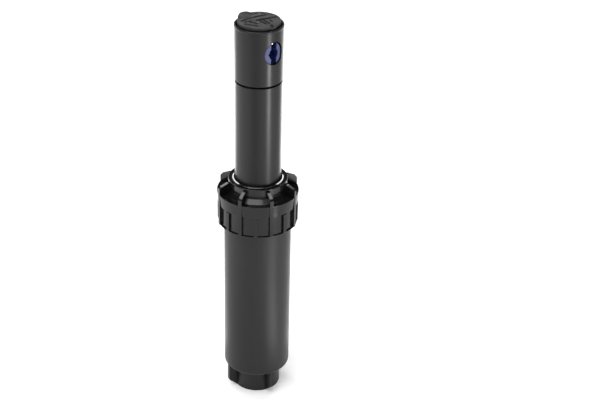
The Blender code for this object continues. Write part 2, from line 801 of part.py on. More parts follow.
def output_foot():
    """Underside of the output gear's web."""
    return train_base(COMPOUND_GEARS) + GEAR_FACE + 3 * PINION_REACH


def make_output_gear():
    """Internal ring gear with a web and a stub that holds the output shaft."""
    rim = module * (OUTPUT_TEETH / 2 + DEDENDUM) + OUTPUT_RIM
    foot = train_base(COMPOUND_GEARS)
    web = output_foot()
    outlines = [circle(rim, INNER_STEPS), gear_outline(OUTPUT_TEETH, module, 0.0, inward=True)]
    item = slab("output_gear", outlines, foot, web + OUTPUT_WEB / 2)
    join(item, rod("output_web", rim - FIT, web, web + OUTPUT_WEB, INNER_STEPS))
    stub_top = web + OUTPUT_WEB + OUTPUT_STUB
    return join(item, rod("output_stub", shaft_bore - FIT, web + OUTPUT_WEB / 2, stub_top, INNER_STEPS))


def make_output_shaft():
    """Hollow shaft that lets the water in through windows and carries the turret."""
    foot = output_foot() + OUTPUT_WEB + FIT
    top = turret_base + SHAFT_SOCKET
    collar_top = plate_base - 2 * FIT - WASHER_HEIGHT
    collar_foot = collar_top - SHAFT_COLLAR_HEIGHT
    collar = OUTPUT_SHAFT_RADIUS + SHAFT_COLLAR
    profile = [(OUTPUT_SHAFT_RADIUS, top), (OUTPUT_SHAFT_RADIUS, collar_top), (collar, collar_top)]
    profile += [(collar, collar_foot), (OUTPUT_SHAFT_RADIUS, collar_foot)]
    profile += [(OUTPUT_SHAFT_RADIUS, foot), (shaft_bore, foot), (shaft_bore, top)]
    item = turned("output_shaft", profile)
    window_top = collar_foot - CASE_WINDOW_MARGIN
    heights = (window_top - SHAFT_WINDOW_HEIGHT, window_top)
    reach = OUTPUT_SHAFT_RADIUS + FIT
    for index in range(2):
        name = f"shaft_window_{index}"
        cut(item, radial_block(name, (-reach, reach), SHAFT_WINDOW_WIDTH, heights, 90.0 * index))
    return item


def make_bearings():
    """Thrust washer under the riser's plate, and the bush and lip seal in its bore."""
    outer = plate_bore - FIT
    washer_top = plate_base - FIT
    collar = OUTPUT_SHAFT_RADIUS + SHAFT_COLLAR
    middle = (plate_base + riser_top) / 2
    ring("thrust_washer", collar, bearing_bore, washer_top - WASHER_HEIGHT, washer_top)
    ring("riser_bush", outer, bearing_bore, plate_base, middle - FIT / 2)
    ring("shaft_seal", outer, bearing_bore, middle + FIT / 2, riser_top - FIT)


def make_trip_lever():
    """Upright lever through the riser's plate, with a finger above and an arm below."""
    foot = plate_base - TRIP_ARM_DROP
    finger_base = riser_top + FIT
    top = finger_base + TRIP_FINGER_HEIGHT
    item = rod("trip_lever", TRIP_SHAFT, foot, top)
    lean = heading(TRIP_AZIMUTH - TRIP_LEAN)
    half = TRIP_WIDTH / 2
    finger = block("trip_finger", (0.0, -half, finger_base), (TRIP_FINGER, half, top))
    arm = block("trip_arm", (0.0, -half, foot), (TRIP_ARM, half, foot + TRIP_FINGER_HEIGHT))
    finger.rotation_euler.z = lean
    arm.rotation_euler.z = lean + math.pi / 2
    for tool in (item, finger, arm):
        place(tool, heading(TRIP_AZIMUTH), TRIP_RADIUS)
    return join(item, finger, arm)


def make_turret_housing():
    """Turret shell with its rim lip, nozzle mouth, facet over the nozzle and fixed stop."""
    lip = turret_radius + TURRET_LIP
    lip_foot = turret_top - TURRET_LIP_HEIGHT
    profile = [(turret_radius, turret_top), (lip, turret_top - TURRET_LIP)]
    profile += [(lip, lip_foot + TURRET_LIP), (turret_radius, lip_foot)]
    profile += [(turret_radius, turret_base), (turret_bore, turret_base), (turret_bore, ledge_z)]
    profile += [(rim_bore, ledge_z), (rim_bore, turret_top)]
    item = turned("turret_housing", profile, OUTER_STEPS)
    stop_base = turret_base + STOP_LIFT
    stop_radii = (turret_bore - STOP_REACH, turret_bore + TURRET_WALL / 2)
    heights = (stop_base, stop_base + STOP_HEIGHT)
    join(item, radial_block("fixed_stop", stop_radii, STOP_WIDTH, heights, ARC_STOP_AZIMUTH + 180.0))
    mouth = rod("nozzle_mouth", NOZZLE_BORE + FIT / 2, turret_bore / 2, 2 * turret_radius, INNER_STEPS)
    cut(item, tilt(mouth))
    facet_foot = -NOZZLE_BORE
    facet = block(
        "nozzle_facet", (-turret_radius, -turret_radius, facet_foot), (turret_radius, 0.0, RIM_DEPTH * 2)
    )
    facet.location = (0.0, -turret_radius + FACET_DEPTH, ledge_z)
    facet.rotation_euler.x = math.radians(FACET_TILT)
    return cut(item, facet)


def make_turret_deck():
    """Disc on the turret's ledge, bored for the two screws."""
    item = rod("turret_deck", deck_radius, ledge_z + FIT, deck_top, OUTER_STEPS)
    low = ledge_z - FIT
    high = deck_top + FIT
    arc_hole = rod("arc_screw_hole", ARC_SCREW_RADIUS + FIT, low, high, ROD_STEPS)
    radius_hole = rod("radius_screw_hole", RADIUS_SCREW_RADIUS + FIT, low, high, ROD_STEPS)
    cut(item, place(arc_hole, heading(ARC_SCREW_AZIMUTH), arc_screw_offset()))
    return cut(item, place(radius_hole, heading(0.0), radius_screw_offset()))


def make_flow_elbow():
    """Elbow on the output shaft that holds the nozzle and the arc ring."""
    foot = turret_base + ARC_RING_LIFT - FIT - ELBOW_FOOT_HEIGHT
    foot_top = foot + ELBOW_FOOT_HEIGHT
    mouth = turret_bore - FIT
    socket_top = turret_base + SHAFT_SOCKET + FIT
    item = rod("flow_elbow", elbow_radius, foot, elbow_z, INNER_STEPS)
    join(item, rod("elbow_foot", elbow_radius + ELBOW_FOOT, foot, foot_top, INNER_STEPS))
    join(item, ball("elbow_knee", elbow_head + FIT, (0.0, 0.0, elbow_z)))
    join(item, tilt(rod("elbow_head", elbow_head, 0.0, 2 * turret_radius, INNER_STEPS)))
    shell = rod("elbow_shell", mouth, turret_base, turret_top, OUTER_STEPS)
    combine(item, [shell], "INTERSECT")
    cut(item, rod("elbow_socket", elbow_foot_bore, foot - FIT, socket_top, INNER_STEPS))
    cut(item, rod("elbow_bore", shaft_bore, foot, elbow_z, INNER_STEPS))
    cut(item, ball("elbow_turn", shaft_bore + FIT, (0.0, 0.0, elbow_z)))
    cut(item, tilt(rod("elbow_throat", shaft_bore, 0.0, nozzle_face, INNER_STEPS)))
    seat = nozzle_face - NOZZLE_LENGTH - FIT
    cut(item, tilt(rod("elbow_seat", NOZZLE_BORE, seat, 2 * turret_radius, INNER_STEPS)))
    relief = rod("elbow_relief", ARC_SCREW_RADIUS + RUNNING_FIT, foot_top, turret_top, ROD_STEPS)
    cut(item, place(relief, heading(ARC_SCREW_AZIMUTH), arc_screw_offset()))
    hole = rod("elbow_screw_hole", RADIUS_SCREW_RADIUS + FIT, elbow_z, turret_top, ROD_STEPS)
    return cut(item, place(hole, heading(0.0), radius_screw_offset()))


def make_nozzle_insert():
    """Nozzle plug with a slotted cup, a main port and a small side port."""
    face = nozzle_face
    back = face - NOZZLE_LENGTH
    cup_floor = face - NOZZLE_CUP
    cup = nozzle_radius - NOZZLE_RIM
    profile = [(cup, face), (nozzle_radius, face), (nozzle_radius, back), (cup, back)]
    profile += [(NOZZLE_PORT, cup_floor - NOZZLE_PORT), (NOZZLE_PORT, cup_floor), (cup, cup_floor)]
    item = tilt(turned("nozzle_insert", profile))
    slot_low = (-NOZZLE_SLOT / 2, -2 * nozzle_radius, cup_floor + FIT)
    slot_high = (NOZZLE_SLOT / 2, 2 * nozzle_radius, face + FIT)
    cut(item, tilt(block("nozzle_slot", slot_low, slot_high)))
    side_port = rod("nozzle_side_port", NOZZLE_SIDE_PORT, back - FIT, face + FIT, HOLE_STEPS)
    tilt(side_port)
    side_port.location.x = -NOZZLE_SIDE_OFFSET
    return cut(item, side_port)


def arc_screw_offset():
    """Distance of the arc screw from the axis."""
    return ARC_MODULE * (ARC_RING_TEETH + ARC_SCREW_TEETH) / 2


def radius_screw_offset():
    """Distance of the radius screw from the axis, close inside the turret's wall."""
    return turret_bore - RUNNING_FIT - RADIUS_SCREW_RADIUS


def make_arc_ring():
    """Toothed ring on the elbow, with the stop that sets the end of the arc."""
    base = turret_base + ARC_RING_LIFT
    top = base + ARC_RING_HEIGHT
    bore = elbow_radius + FIT
    outlines = [gear_outline(ARC_RING_TEETH, ARC_MODULE, 0.0), circle(bore, INNER_STEPS)]
    item = slab("arc_ring", outlines, base, top)
    stop_root = elbow_radius + ELBOW_FOOT + FIT
    radii = (stop_root, stop_root + ARC_STOP_REACH)
    heights = (base - ARC_STOP_DROP, base + 2 * FIT)
    return join(item, radial_block("arc_stop", radii, STOP_WIDTH, heights, ARC_STOP_AZIMUTH))


def driver_slot(name, radius):
    """Cutter for a driver's slot in the top of a screw."""
    reach = 2 * radius
    lows = (-reach, -SLOT_WIDTH / 2, deck_top - SLOT_DEPTH)
    highs = (reach, SLOT_WIDTH / 2, deck_top + FIT)
    return block(name, lows, highs)


def make_arc_screw():
    """Slotted screw whose pinion turns the arc ring."""
    line = heading(ARC_SCREW_AZIMUTH)
    phase = outer_mesh_phase(0.0, ARC_RING_TEETH, ARC_SCREW_TEETH, line)
    base = turret_base + ARC_RING_LIFT + 4 * FIT
    pinion_top = turret_base + ARC_RING_LIFT + ARC_RING_HEIGHT
    outline = gear_outline(ARC_SCREW_TEETH, ARC_MODULE, phase)
    item = slab("arc_screw", [outline], base, pinion_top)
    stem = rod("arc_screw_stem", ARC_SCREW_RADIUS, base + FIT, deck_top)
    slot = driver_slot("arc_screw_slot", ARC_SCREW_RADIUS)
    for tool in (item, stem, slot):
        place(tool, line, arc_screw_offset())
    return cut(join(item, stem), slot)


def make_radius_screw():
    """Steel screw that is driven down into the jet."""
    foot = deck_top - RADIUS_SCREW_LENGTH
    item = rod("radius_screw", RADIUS_SCREW_RADIUS, foot, deck_top)
    slot = driver_slot("radius_screw_slot", RADIUS_SCREW_RADIUS)
    for tool in (item, slot):
        place(tool, heading(0.0), radius_screw_offset())
    return cut(item, slot)


def make_rubber_cover():
    """Rubber cover with a crown, a hump behind, a notch in front and two screw holes."""
    shoulder = cover_base + COVER_HEIGHT
    edge_centre = (deck_radius - COVER_EDGE, shoulder - COVER_EDGE)
    crown = shoulder + COVER_CROWN
    profile = [(0.0, crown), (deck_radius / 2, shoulder + COVER_CROWN * CROWN_HALFWAY)]
    profile += arc(edge_centre, COVER_EDGE, 90, 0, 3)
    profile += [(deck_radius, cover_base), (0.0, cover_base)]
    item = turned("rubber_cover", profile, OUTER_STEPS)
    hump = ball("cover_hump", COVER_HUMP_RADIUS, (0.0, 0.0, 0.0))
    hump.scale.z = 2 * COVER_HUMP / COVER_HUMP_RADIUS
    hump.location.z = shoulder
    join(item, place(hump, heading(COVER_HUMP_AZIMUTH), COVER_HUMP_OFFSET))
    half = COVER_NOTCH_WIDTH / 2
    notch = block("cover_notch", (-half, -COVER_HEIGHT * 2, 0.0), (half, COVER_HEIGHT * 2, COVER_HEIGHT))
    notch.location = (0.0, -deck_radius, shoulder - COVER_EDGE)
    notch.rotation_euler.x = math.radians(COVER_NOTCH_TILT)
    cut(item, notch)
    for index, (azimuth, offset) in enumerate(
        ((0.0, radius_screw_offset()), (ARC_SCREW_AZIMUTH, arc_screw_offset()))
    ):
        hole = rod(f"cover_hole_{index}", COVER_HOLE, cover_base - FIT, crown + COVER_HUMP, HOLE_STEPS)
        cut(item, place(hole, heading(azimuth), offset))
    return item


def make_axis(name, parent):
    """An empty on a joint's axis."""
    empty = bpy.data.objects.new(name, None)
    empty.empty_display_size = 0.01
    parts.objects.link(empty)
    empty.parent = parent
    return empty


def carry(axis, names):
    """Parent pieces to the empty of the body that they ride on."""
    for name in names:
        bpy.data.objects[name].parent = axis


def paint(material, names):
    """Give each named piece its own copy of a material."""
    for name in names:
        own = material.copy()
        own.name = name + "_finish"
        bpy.data.objects[name].data.materials.clear()
        bpy.data.objects[name].data.materials.append(own)


def paint_all():
    """Colours of the pieces."""
    satin = plastic("satin_black", (0.055, 0.055, 0.058), 0.42)
    gloss = plastic("gloss_black", (0.018, 0.018, 0.019), 0.22)
    rubber = plastic("rubber", (0.045, 0.047, 0.047), 0.75)
    acetal = plastic("acetal", (0.72, 0.72, 0.70), 0.45)
    blue = plastic("blue_nozzle", (0.20, 0.21, 0.50), 0.40)
    steel = plastic("steel", (0.62, 0.62, 0.63), 0.28, 1.0)
    gears = [f"compound_gear_{number}" for number in range(1, COMPOUND_GEARS + 1)]
    inner = ["stator_plate", "turbine_wheel", "gear_case_base", "gear_case", "output_gear"]
    inner += ["output_shaft", "thrust_washer", "riser_bush", "trip_lever"]
    inner += ["arc_ring", "arc_screw", "filter_screen", "ratchet_ring", "spring_seat"]
    paint(satin, ["body_case", "riser_tube", "turret_housing", "turret_deck", "flow_elbow"])
    paint(gloss, ["body_cap"])
    paint(rubber, ["wiper_seal", "shaft_seal", "rubber_cover"])
    paint(acetal, gears + inner)
    paint(blue, ["nozzle_insert"])
    paint(steel, ["retract_spring", "turbine_shaft", "arbor_a", "arbor_b", "radius_screw"])


def assemble():
    """Hang every piece on the axis that it moves with."""
    case = make_axis("case_axis", None)
    ratchet = make_axis("ratchet_axis", case)
    riser = make_axis("riser_axis", ratchet)
    turret = make_axis("turret_axis", riser)
    carry(case, ["body_case", "body_cap", "wiper_seal", "spring_seat", "retract_spring"])
    carry(ratchet, ["ratchet_ring"])
    carry(riser, ["riser_tube", "filter_screen", "stator_plate", "gear_case_base", "gear_case"])
    carry(riser, ["arbor_a", "arbor_b", "thrust_washer", "riser_bush", "shaft_seal", "trip_lever"])
    carry(riser, ["turbine_wheel", "turbine_shaft"])
    carry(riser, [f"compound_gear_{number}" for number in range(1, COMPOUND_GEARS + 1)])
    carry(turret, ["output_gear", "output_shaft", "turret_housing", "turret_deck", "flow_elbow"])
    carry(turret, ["nozzle_insert", "rubber_cover", "arc_ring", "arc_screw", "radius_screw"])


def main():
    """Build the sprinkler from the inlet upward."""
    clear_scene()
    make_body_case()
    make_body_cap()
    make_wiper_seal()
    ring("spring_seat", body_bore - FIT, seal_bore, seat_base, body_top)
    make_retract_spring()
    make_ratchet_ring()
    make_riser_tube()
    make_filter_screen()
    make_stator_plate()
    make_turbine_wheel()
    turbine_phase, phases = train_phases()
    make_pinion_shaft(turbine_phase)
    for number, phase in sorted(phases.items()):
        make_compound_gear(number, phase)
    make_arbor("arbor_a", 0, COMPOUND_GEARS - 1)
    make_arbor("arbor_b", 1, COMPOUND_GEARS)
    make_gear_case_base()
    make_gear_case()
    make_output_gear()
    make_output_shaft()
    make_bearings()
    make_trip_lever()
    make_turret_housing()
    make_turret_deck()
    make_flow_elbow()
    make_nozzle_insert()
    make_arc_ring()
    make_arc_screw()
    make_radius_screw()
    make_rubber_cover()
    paint_all()
    assemble()


main()
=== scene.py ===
"""Looks of a gear driven pop up sprinkler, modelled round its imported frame.

Metres, +Z up. The inlet's lower rim stands on the floor at the origin, every main piece
turns on the Z axis and the nozzle looks along -Y. An azimuth is measured from -Y toward +X.
"""

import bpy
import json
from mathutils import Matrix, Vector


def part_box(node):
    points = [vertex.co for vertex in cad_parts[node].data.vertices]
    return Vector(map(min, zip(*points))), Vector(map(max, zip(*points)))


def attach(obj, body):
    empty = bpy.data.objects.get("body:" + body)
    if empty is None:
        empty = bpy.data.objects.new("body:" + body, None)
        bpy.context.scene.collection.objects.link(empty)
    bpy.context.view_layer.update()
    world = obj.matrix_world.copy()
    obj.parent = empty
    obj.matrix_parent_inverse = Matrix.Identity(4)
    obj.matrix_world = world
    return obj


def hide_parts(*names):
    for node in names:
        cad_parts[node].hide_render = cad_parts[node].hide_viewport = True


bl_info = {
    "name": "Pop up sprinkler",
    "version": (1, 0, 0),
    "blender": (4, 5, 0),
    "location": "View3D > Sidebar > Sprinkler",
    "description": "Models and finishes the visible pieces of a pop up sprinkler",
    "category": "Object",
}

import json
import math

import bpy
from bpy.props import FloatProperty, FloatVectorProperty, IntProperty, PointerProperty
from bpy.types import Operator, Panel, PropertyGroup
from mathutils import Matrix, Vector

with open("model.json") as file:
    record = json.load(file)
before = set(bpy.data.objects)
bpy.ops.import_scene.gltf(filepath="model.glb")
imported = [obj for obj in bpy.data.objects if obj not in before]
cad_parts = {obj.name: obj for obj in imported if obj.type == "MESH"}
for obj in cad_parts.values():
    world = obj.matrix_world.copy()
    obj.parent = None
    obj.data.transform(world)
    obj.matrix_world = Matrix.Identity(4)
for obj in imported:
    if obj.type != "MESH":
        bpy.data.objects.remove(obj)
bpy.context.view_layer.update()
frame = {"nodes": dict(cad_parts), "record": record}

case_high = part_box("body_case")[1]
cap_low, cap_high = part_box("body_cap")
seal_low, seal_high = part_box("wiper_seal")
riser_low, riser_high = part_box("riser_tube")
turret_low, turret_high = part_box("turret_housing")
cover_low, cover_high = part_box("rubber_cover")
radius_low, radius_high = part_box("radius_screw")

# Modelling: merging distance, play, seed of a drawn line, shading and roundings
MERGE = 0.000001
FIT = 0.0003
SEED = 0.001
HOLE_STEPS = 25
SMOOTH_ANGLE = math.radians(32.0)
EASE_STEPS = 4
EASE_SHARE = 0.49
HAIR = 0.0001
CRISP = 0.0002
FINE = 0.0003
SOFT = 0.0004
ROUND = 0.0005
WIDE = 0.0006

# Body: inlet, gusset fins, inner splines and threads
INLET_CHAMFER = 0.0012
FLOOR_THICKNESS = 0.0023
FLOOR_EASE = 0.0012
FIN_COUNT = 4
FIN_RISE = 0.0065
FIN_REACH = 0.0245
FIN_CORNER = 0.0008
FIN_ROOT_SHARE = 0.8
SPLINE_COUNT = 4
SPLINE_WIDTH = 0.0020
SPLINE_REACH = 0.0218
SPLINE_TOP = 0.1613
SPLINE_OVERLAP = 0.001
THREAD_RINGS = 3
THREAD_PITCH = 0.0036
THREAD_ROOT = 0.0017
THREAD_TIP = 0.0008
THREAD_FROM_TOP = 0.0073
PIPE_PITCH = 0.00181
PIPE_TURNS = 7
PIPE_STEPS = 48
PIPE_THREAD_DEPTH = 0.0010
PIPE_ROOT_SHARE = 0.45
PIPE_TIP_SHARE = 0.08

# Cap: head, band, foot ring, collar and ribs
SHOULDER_ABOVE_SEAT = 0.0032
CAP_HEAD = 0.0134
LIP_WIDTH = 0.0008
LIP_HEIGHT = 0.0004
CAP_FLARE = 0.0007
BAND_HEIGHT = 0.0092
PANEL_STEP = 0.0005
FOOT_RING = 0.0010
FOOT_RING_HEIGHT = 0.0006
COLLAR_HEIGHT = 0.0070
MAIN_RIBS = 8
RIB_PROUD = 0.0008
RIB_BELOW_TOP = 0.0012
RIB_DROP = 0.0032
RIB_CORNER = 0.0015
RIB_SHOULDER = 0.0010
RIB_BEVEL = 0.00035
SIDE_RIB_PROUD = 0.0003

# Wiper seal
SEAL_FLANGE = 0.0020
SEAL_LIP = 0.0010
SEAL_LIP_TILT = math.radians(20.0)
SEAL_ABOVE_COLLAR = 0.0003

# Riser
RISER_FLANGE = 0.0025
RISER_PLATE = 0.0056
PLATE_BORE = 0.0082
TRIP_HOLE = 0.0015
TRIP_OFFSET = 0.0103

# Turret
TURRET_LIP = 0.0004
TURRET_LIP_HEIGHT = 0.0018
RIM_WALL = 0.0008
RIM_DEPTH = 0.0060
STOP_ROOT = 0.0133
STOP_WIDTH = 0.0030
STOP_HEIGHT = 0.0024
STOP_LIFT = 0.0013
MOUTH_STEPS = 65

# Nozzle plug
NOZZLE_STEPS = 72
NOZZLE_FRONT_STEPS = 129
NOZZLE_BELOW_TOP = 0.0170
NOZZLE_RECESS = 0.0008
NOZZLE_GAP = 0.0008
NOZZLE_LENGTH = 0.0090
NOZZLE_CUP_RADIUS = 0.0040
NOZZLE_CUP = 0.0052
NOZZLE_SLOT = 0.0050
# Width over which the painted shade in the nozzle's cup fades out toward the face
NOZZLE_SHADE_FADE = 0.0005
NOZZLE_SIDE_PORT = 0.0008
NOZZLE_SIDE_OFFSET = 0.0036

# Rubber cover, with its grooves as x, y to x, y and half width in millimetres
COVER_HEIGHT = 0.0054
COVER_CROWN = 0.0014
COVER_EDGE = 0.0011
COVER_NECK = 0.0011
COVER_GAP = 0.0005
COVER_UNDERCUT = 0.0030
COVER_HUMP = 0.0028
COVER_HUMP_RADIUS = 0.0060
COVER_HUMP_OFFSET = 0.0110
COVER_HUMP_AZIMUTH = math.radians(197.0)
COVER_HOLE = 0.0013
COVER_NOTCH_WIDTH = 0.0060
COVER_NOTCH_TILT = math.radians(55.0)
COVER_STEPS = 180
COVER_RINGS = 40
COVER_GROOVES = (
    (-11.7, -3.2, -3.5, 1.3, 1.00),
    (-3.5, 1.3, 4.1, 6.3, 1.10),
    (-1.2, -3.8, 5.3, -0.6, 1.10),
    (5.3, -0.6, 12.3, 5.1, 1.00),
    (-6.1, -6.3, -1.2, -8.9, 0.90),
    (0.0, -4.4, 4.7, -8.9, 0.90),
    (2.9, -3.2, 7.0, -7.6, 0.90),
    (7.6, -2.5, 8.8, -4.4, 0.80),
    (-12.9, 5.9, -5.8, 5.7, 0.90),
    (-4.7, 7.0, -1.2, 10.1, 0.80),
    (-9.4, -5.6, -5.8, -4.4, 0.80),
    (2.2, 9.6, 8.2, 9.4, 0.80),
    (-9.4, -8.6, -1.2, -12.4, 0.80),
)
MM_PER_METRE = 1000.0
GROOVE_TURN = math.radians(-40.0)
GROOVE_SLOPE = 0.0004
GROOVE = "groove_depth"

# Screws
RADIUS_SCREW_OFFSET = 0.0134
RADIUS_SCREW_RADIUS = 0.0012
SCREW_STEPS = 32
SCREW_SLOT = (0.004, 0.0007, 0.0016)
ARC_SCREW_OFFSET = 0.0115
ARC_SCREW_AZIMUTH = math.radians(130.0)

# Finish of the carried-over pieces, by the record's slot
SLOT_FINISHES = {
    "body_black": "satin_charcoal",
    "cap_black": "gloss_black",
    "seal_rubber": "glossy_seal",
    "cover_rubber": "grey_cover",
    # The nozzle's finish paints shade deep in its cup
    "nozzle_blue": "bleached_blue",
    "inner_plastic": "natural_acetal",
    "filter_plastic": "dark_filter",
    "steel": "drawn_steel",
}

# Stage: the floor whitens from near to far, and the soft lamps look at one point
IMAGE_WIDTH = 600.0
SENSOR_WIDTH = 36.0
FLOOR_SIZE = 12.0
FLOOR_NEAR = 0.2
FLOOR_FAR = 1.4
LAMP_AIM = (0.0, 0.0, 0.16)
PANEL_HEIGHT = 0.006

# Light panels that lie on the floor and look up: degrees to the right of the camera,
# distance from the axis, length outward and width, and the setting with their power
FLOOR_PANELS = (
    ("far_panel", 50.0, 0.605, (0.35, 0.10), "panel_power"),
    ("near_panel", 50.0, 0.155, (0.15, 0.05), "near_power"),
    ("right_fill", 45.0, 0.55, (0.5, 0.75), "fill_power"),
    ("left_fill", -75.0, 0.55, (0.5, 0.75), "fill_power"),
    ("left_rim_panel", -150.0, 0.49, (0.32, 0.24), "rim_power"),
    ("left_near_rim_panel", -150.0, 0.135, (0.17, 0.10), "near_rim_power"),
    ("right_rim_panel", 150.0, 0.49, (0.32, 0.24), "rim_power"),
    ("right_near_rim_panel", 150.0, 0.135, (0.17, 0.10), "near_rim_power"),
)

# Soft lamps: degrees to the right of the camera, distance from the axis, height,
# width and length, degrees of lean, and the setting with their power
SOFT_LAMPS = (
    ("top_lamp", -25.0, 0.40, 1.0, (0.8, 0.8), 0.0, "top_power"),
    ("left_strip", -153.0, 0.72, 0.58, (0.24, 0.56), -13.0, "left_strip_power"),
    ("left_high_lamp", -127.0, 0.274, 0.912, (0.22, 0.22), 0.0, "high_power"),
    ("right_strip", 153.0, 0.72, 0.58, (0.16, 0.56), 13.0, "right_strip_power"),
    ("right_high_lamp", 127.0, 0.274, 0.912, (0.22, 0.22), 0.0, "high_power"),
)


def metres(name, default, description):
    """A length that a user may change."""
    return FloatProperty(
        name=name, description=description, default=default, min=0.0, precision=5, unit="LENGTH"
    )


def degrees(name, default, description):
    """An angle that a user may change."""
    return FloatProperty(
        name=name, description=description, default=math.radians(default), unit="ROTATION"
    )


def colour(name, default, description):
    """A linear colour that a user may change."""
    return FloatVectorProperty(
        name=name, description=description, default=default, min=0.0, max=1.0, subtype="COLOR"
    )


def amount(name, default, description):
    """A plain number that a user may change."""
    return FloatProperty(name=name, description=description, default=default)


class SprinklerSizes(PropertyGroup):
    """Sizes of the visible pieces."""

    round_steps: IntProperty(
        name="Round steps", description="Sides of a turned piece", default=96, min=24
    )
    body_radius: metres("Body radius", 0.0248, "Outside of the straight body")
    body_wall: metres("Body wall", 0.0021, "Wall of the body")
    body_edge: metres("Body edge", 0.0023, "Rounding of the body's lower edge")
    inlet_radius: metres("Inlet radius", 0.0177, "Outside of the inlet boss")
    inlet_height: metres("Inlet height", 0.0192, "Height of the inlet boss")
    inlet_bore: metres("Inlet bore", 0.0121, "Bore of the inlet's pipe thread")
    inlet_depth: metres("Inlet depth", 0.0160, "Depth of the inlet's bore")
    throat_radius: metres("Throat radius", 0.0095, "Water way through the body's floor")
    fin_width: metres("Fin width", 0.0030, "Thickness of the gusset fins")
    fin_azimuth: degrees("Fin azimuth", -12.4, "Where the first gusset fin stands")
    thread_depth: metres("Thread depth", 0.0014, "Depth of the cap's thread")
    skirt_radius: metres("Skirt radius", 0.0294, "Outside of the cap's band")
    panel_radius: metres("Panel radius", 0.0282, "Outside of the cap between its ribs")
    cap_bore: metres("Cap bore", 0.0266, "Bore of the cap over the body")
    collar_radius: metres("Collar radius", 0.0218, "Outside of the cap's collar")
    collar_bore: metres("Collar bore", 0.0191, "Bore of the cap's collar")
    rib_width: metres("Rib width", 0.0029, "Width of the cap's ribs")
    rib_azimuth: degrees("Rib azimuth", -20.7, "Where the first main rib stands")
    riser_radius: metres("Riser radius", 0.0170, "Outside of the riser")
    riser_wall: metres("Riser wall", 0.0020, "Wall of the riser")
    turret_radius: metres("Turret radius", 0.0172, "Outside of the turret")
    turret_wall: metres("Turret wall", 0.0022, "Wall of the turret")
    nozzle_radius: metres("Nozzle radius", 0.0070, "Outside of the nozzle plug")
    nozzle_tilt: degrees("Nozzle tilt", 25.0, "How far the jet rises")
    nozzle_port: metres("Nozzle port", 0.0021, "Main port of the nozzle")
    relief: metres("Cover relief", 0.0011, "Depth of the cover's grooves")


class SprinklerFinishes(PropertyGroup):
    """Colours of the finishes."""

    charcoal: colour("Charcoal plastic", (0.012, 0.012, 0.0128), "Body, riser and turret")
    gloss_black: colour("Gloss black plastic", (0.005, 0.005, 0.0055), "Screw cap")
    seal_black: colour("Seal rubber", (0.005, 0.005, 0.005), "Wiper and shaft seals")
    cover_grey: colour("Cover rubber", (0.040, 0.039, 0.040), "Cover of the turret")
    nozzle_blue: colour("Nozzle blue", (0.105, 0.115, 0.25), "Face of the nozzle plug")
    # Painted shade for the inside of the nozzle's cup
    nozzle_painted_shade: colour("Nozzle navy", (0.014, 0.024, 0.12), "Depth of the nozzle plug")
    acetal: colour("Natural acetal", (0.62, 0.62, 0.60), "Gears and inner pieces")
    filter_grey: colour("Filter grey", (0.07, 0.07, 0.07), "Filter basket")
    steel: colour("Stainless steel", (0.62, 0.62, 0.63), "Screw, spring, shaft and pins")


class SprinklerStage(PropertyGroup):
    """Floor, light and camera."""

    floor_colour: colour("Floor", (0.86, 0.86, 0.86), "Colour of the floor")
    near_lift: amount("Near lift", 0.36, "White that the floor adds near the object")
    far_lift: amount("Far lift", 0.95, "White that the floor adds far away")
    room_light: amount("Room light", 0.08, "Even light from all sides")
    panel_power: amount("Panel power", 3.3, "Low light panel on the right, in watts")
    fill_power: amount("Fill power", 1.3, "Wide dim panels on both sides, in watts")
    near_power: amount("Near panel power", 0.11, "Low light panel close on the right, in watts")
    rim_power: amount("Rim power", 0.7, "Low light panels behind, in watts")
    near_rim_power: amount("Near rim power", 0.08, "Low light panels close behind, in watts")
    left_strip_power: amount("Left strip power", 2.016, "Leaning strip behind, left, in watts")
    right_strip_power: amount("Right strip power", 1.344, "Leaning strip behind, right, in watts")
    high_power: amount("High power", 1.0, "Small lamps high behind, in watts")
    top_power: amount("Top power", 9.0, "Soft lamp overhead, in watts")
    heading: degrees("Camera heading", -40.4, "Azimuth of the camera")
    pitch: degrees("Camera pitch", 29.17, "How far the camera looks down")
    roll: degrees("Camera roll", 0.41, "Lean of the picture")
    distance: metres("Camera distance", 1.0839, "From the camera to the aim")
    aim_height: metres("Aim height", 0.1602, "Height of the aim on the axis")
    lens: amount("Lens", 88.3, "Focal length on a 36 mm frame")
    aside: amount("Aside", 42.2, "Pixels that the object stands left of the middle")


def leave_edit_mode():
    """Back to object mode with nothing selected."""
    if bpy.context.object and bpy.context.object.mode != "OBJECT":
        bpy.ops.object.mode_set(mode="OBJECT")
    bpy.ops.object.select_all(action="DESELECT")


def named(name):
    """The object that was just added, under its own name."""
    piece = bpy.context.object
    piece.name = name
    piece.data.name = name
    return piece


def pick(piece):
    """Makes a piece active and the only one selected."""
    leave_edit_mode()
    piece.select_set(True)
    bpy.context.view_layer.objects.active = piece


def open_piece(piece):
    """Edit mode on one piece, all of it selected."""
    pick(piece)
    bpy.ops.object.mode_set(mode="EDIT")
    bpy.ops.mesh.select_all(action="SELECT")


def modify(piece, kind, **settings):
    """Adds a modifier with its settings and applies it."""
    pick(piece)
    bpy.ops.object.modifier_add(type=kind)
    modifier = piece.modifiers[-1]
    for key, value in settings.items():
        setattr(modifier, key, value)
    bpy.ops.object.modifier_apply(modifier=modifier.name)


def tidy_mesh():
    """Merges what coincides and turns the faces outward, in edit mode."""
    bpy.ops.mesh.select_all(action="SELECT")
    bpy.ops.mesh.remove_doubles(threshold=MERGE)
    bpy.ops.mesh.dissolve_degenerate(threshold=MERGE)
    bpy.ops.mesh.select_all(action="SELECT")
    bpy.ops.mesh.normals_make_consistent(inside=False)


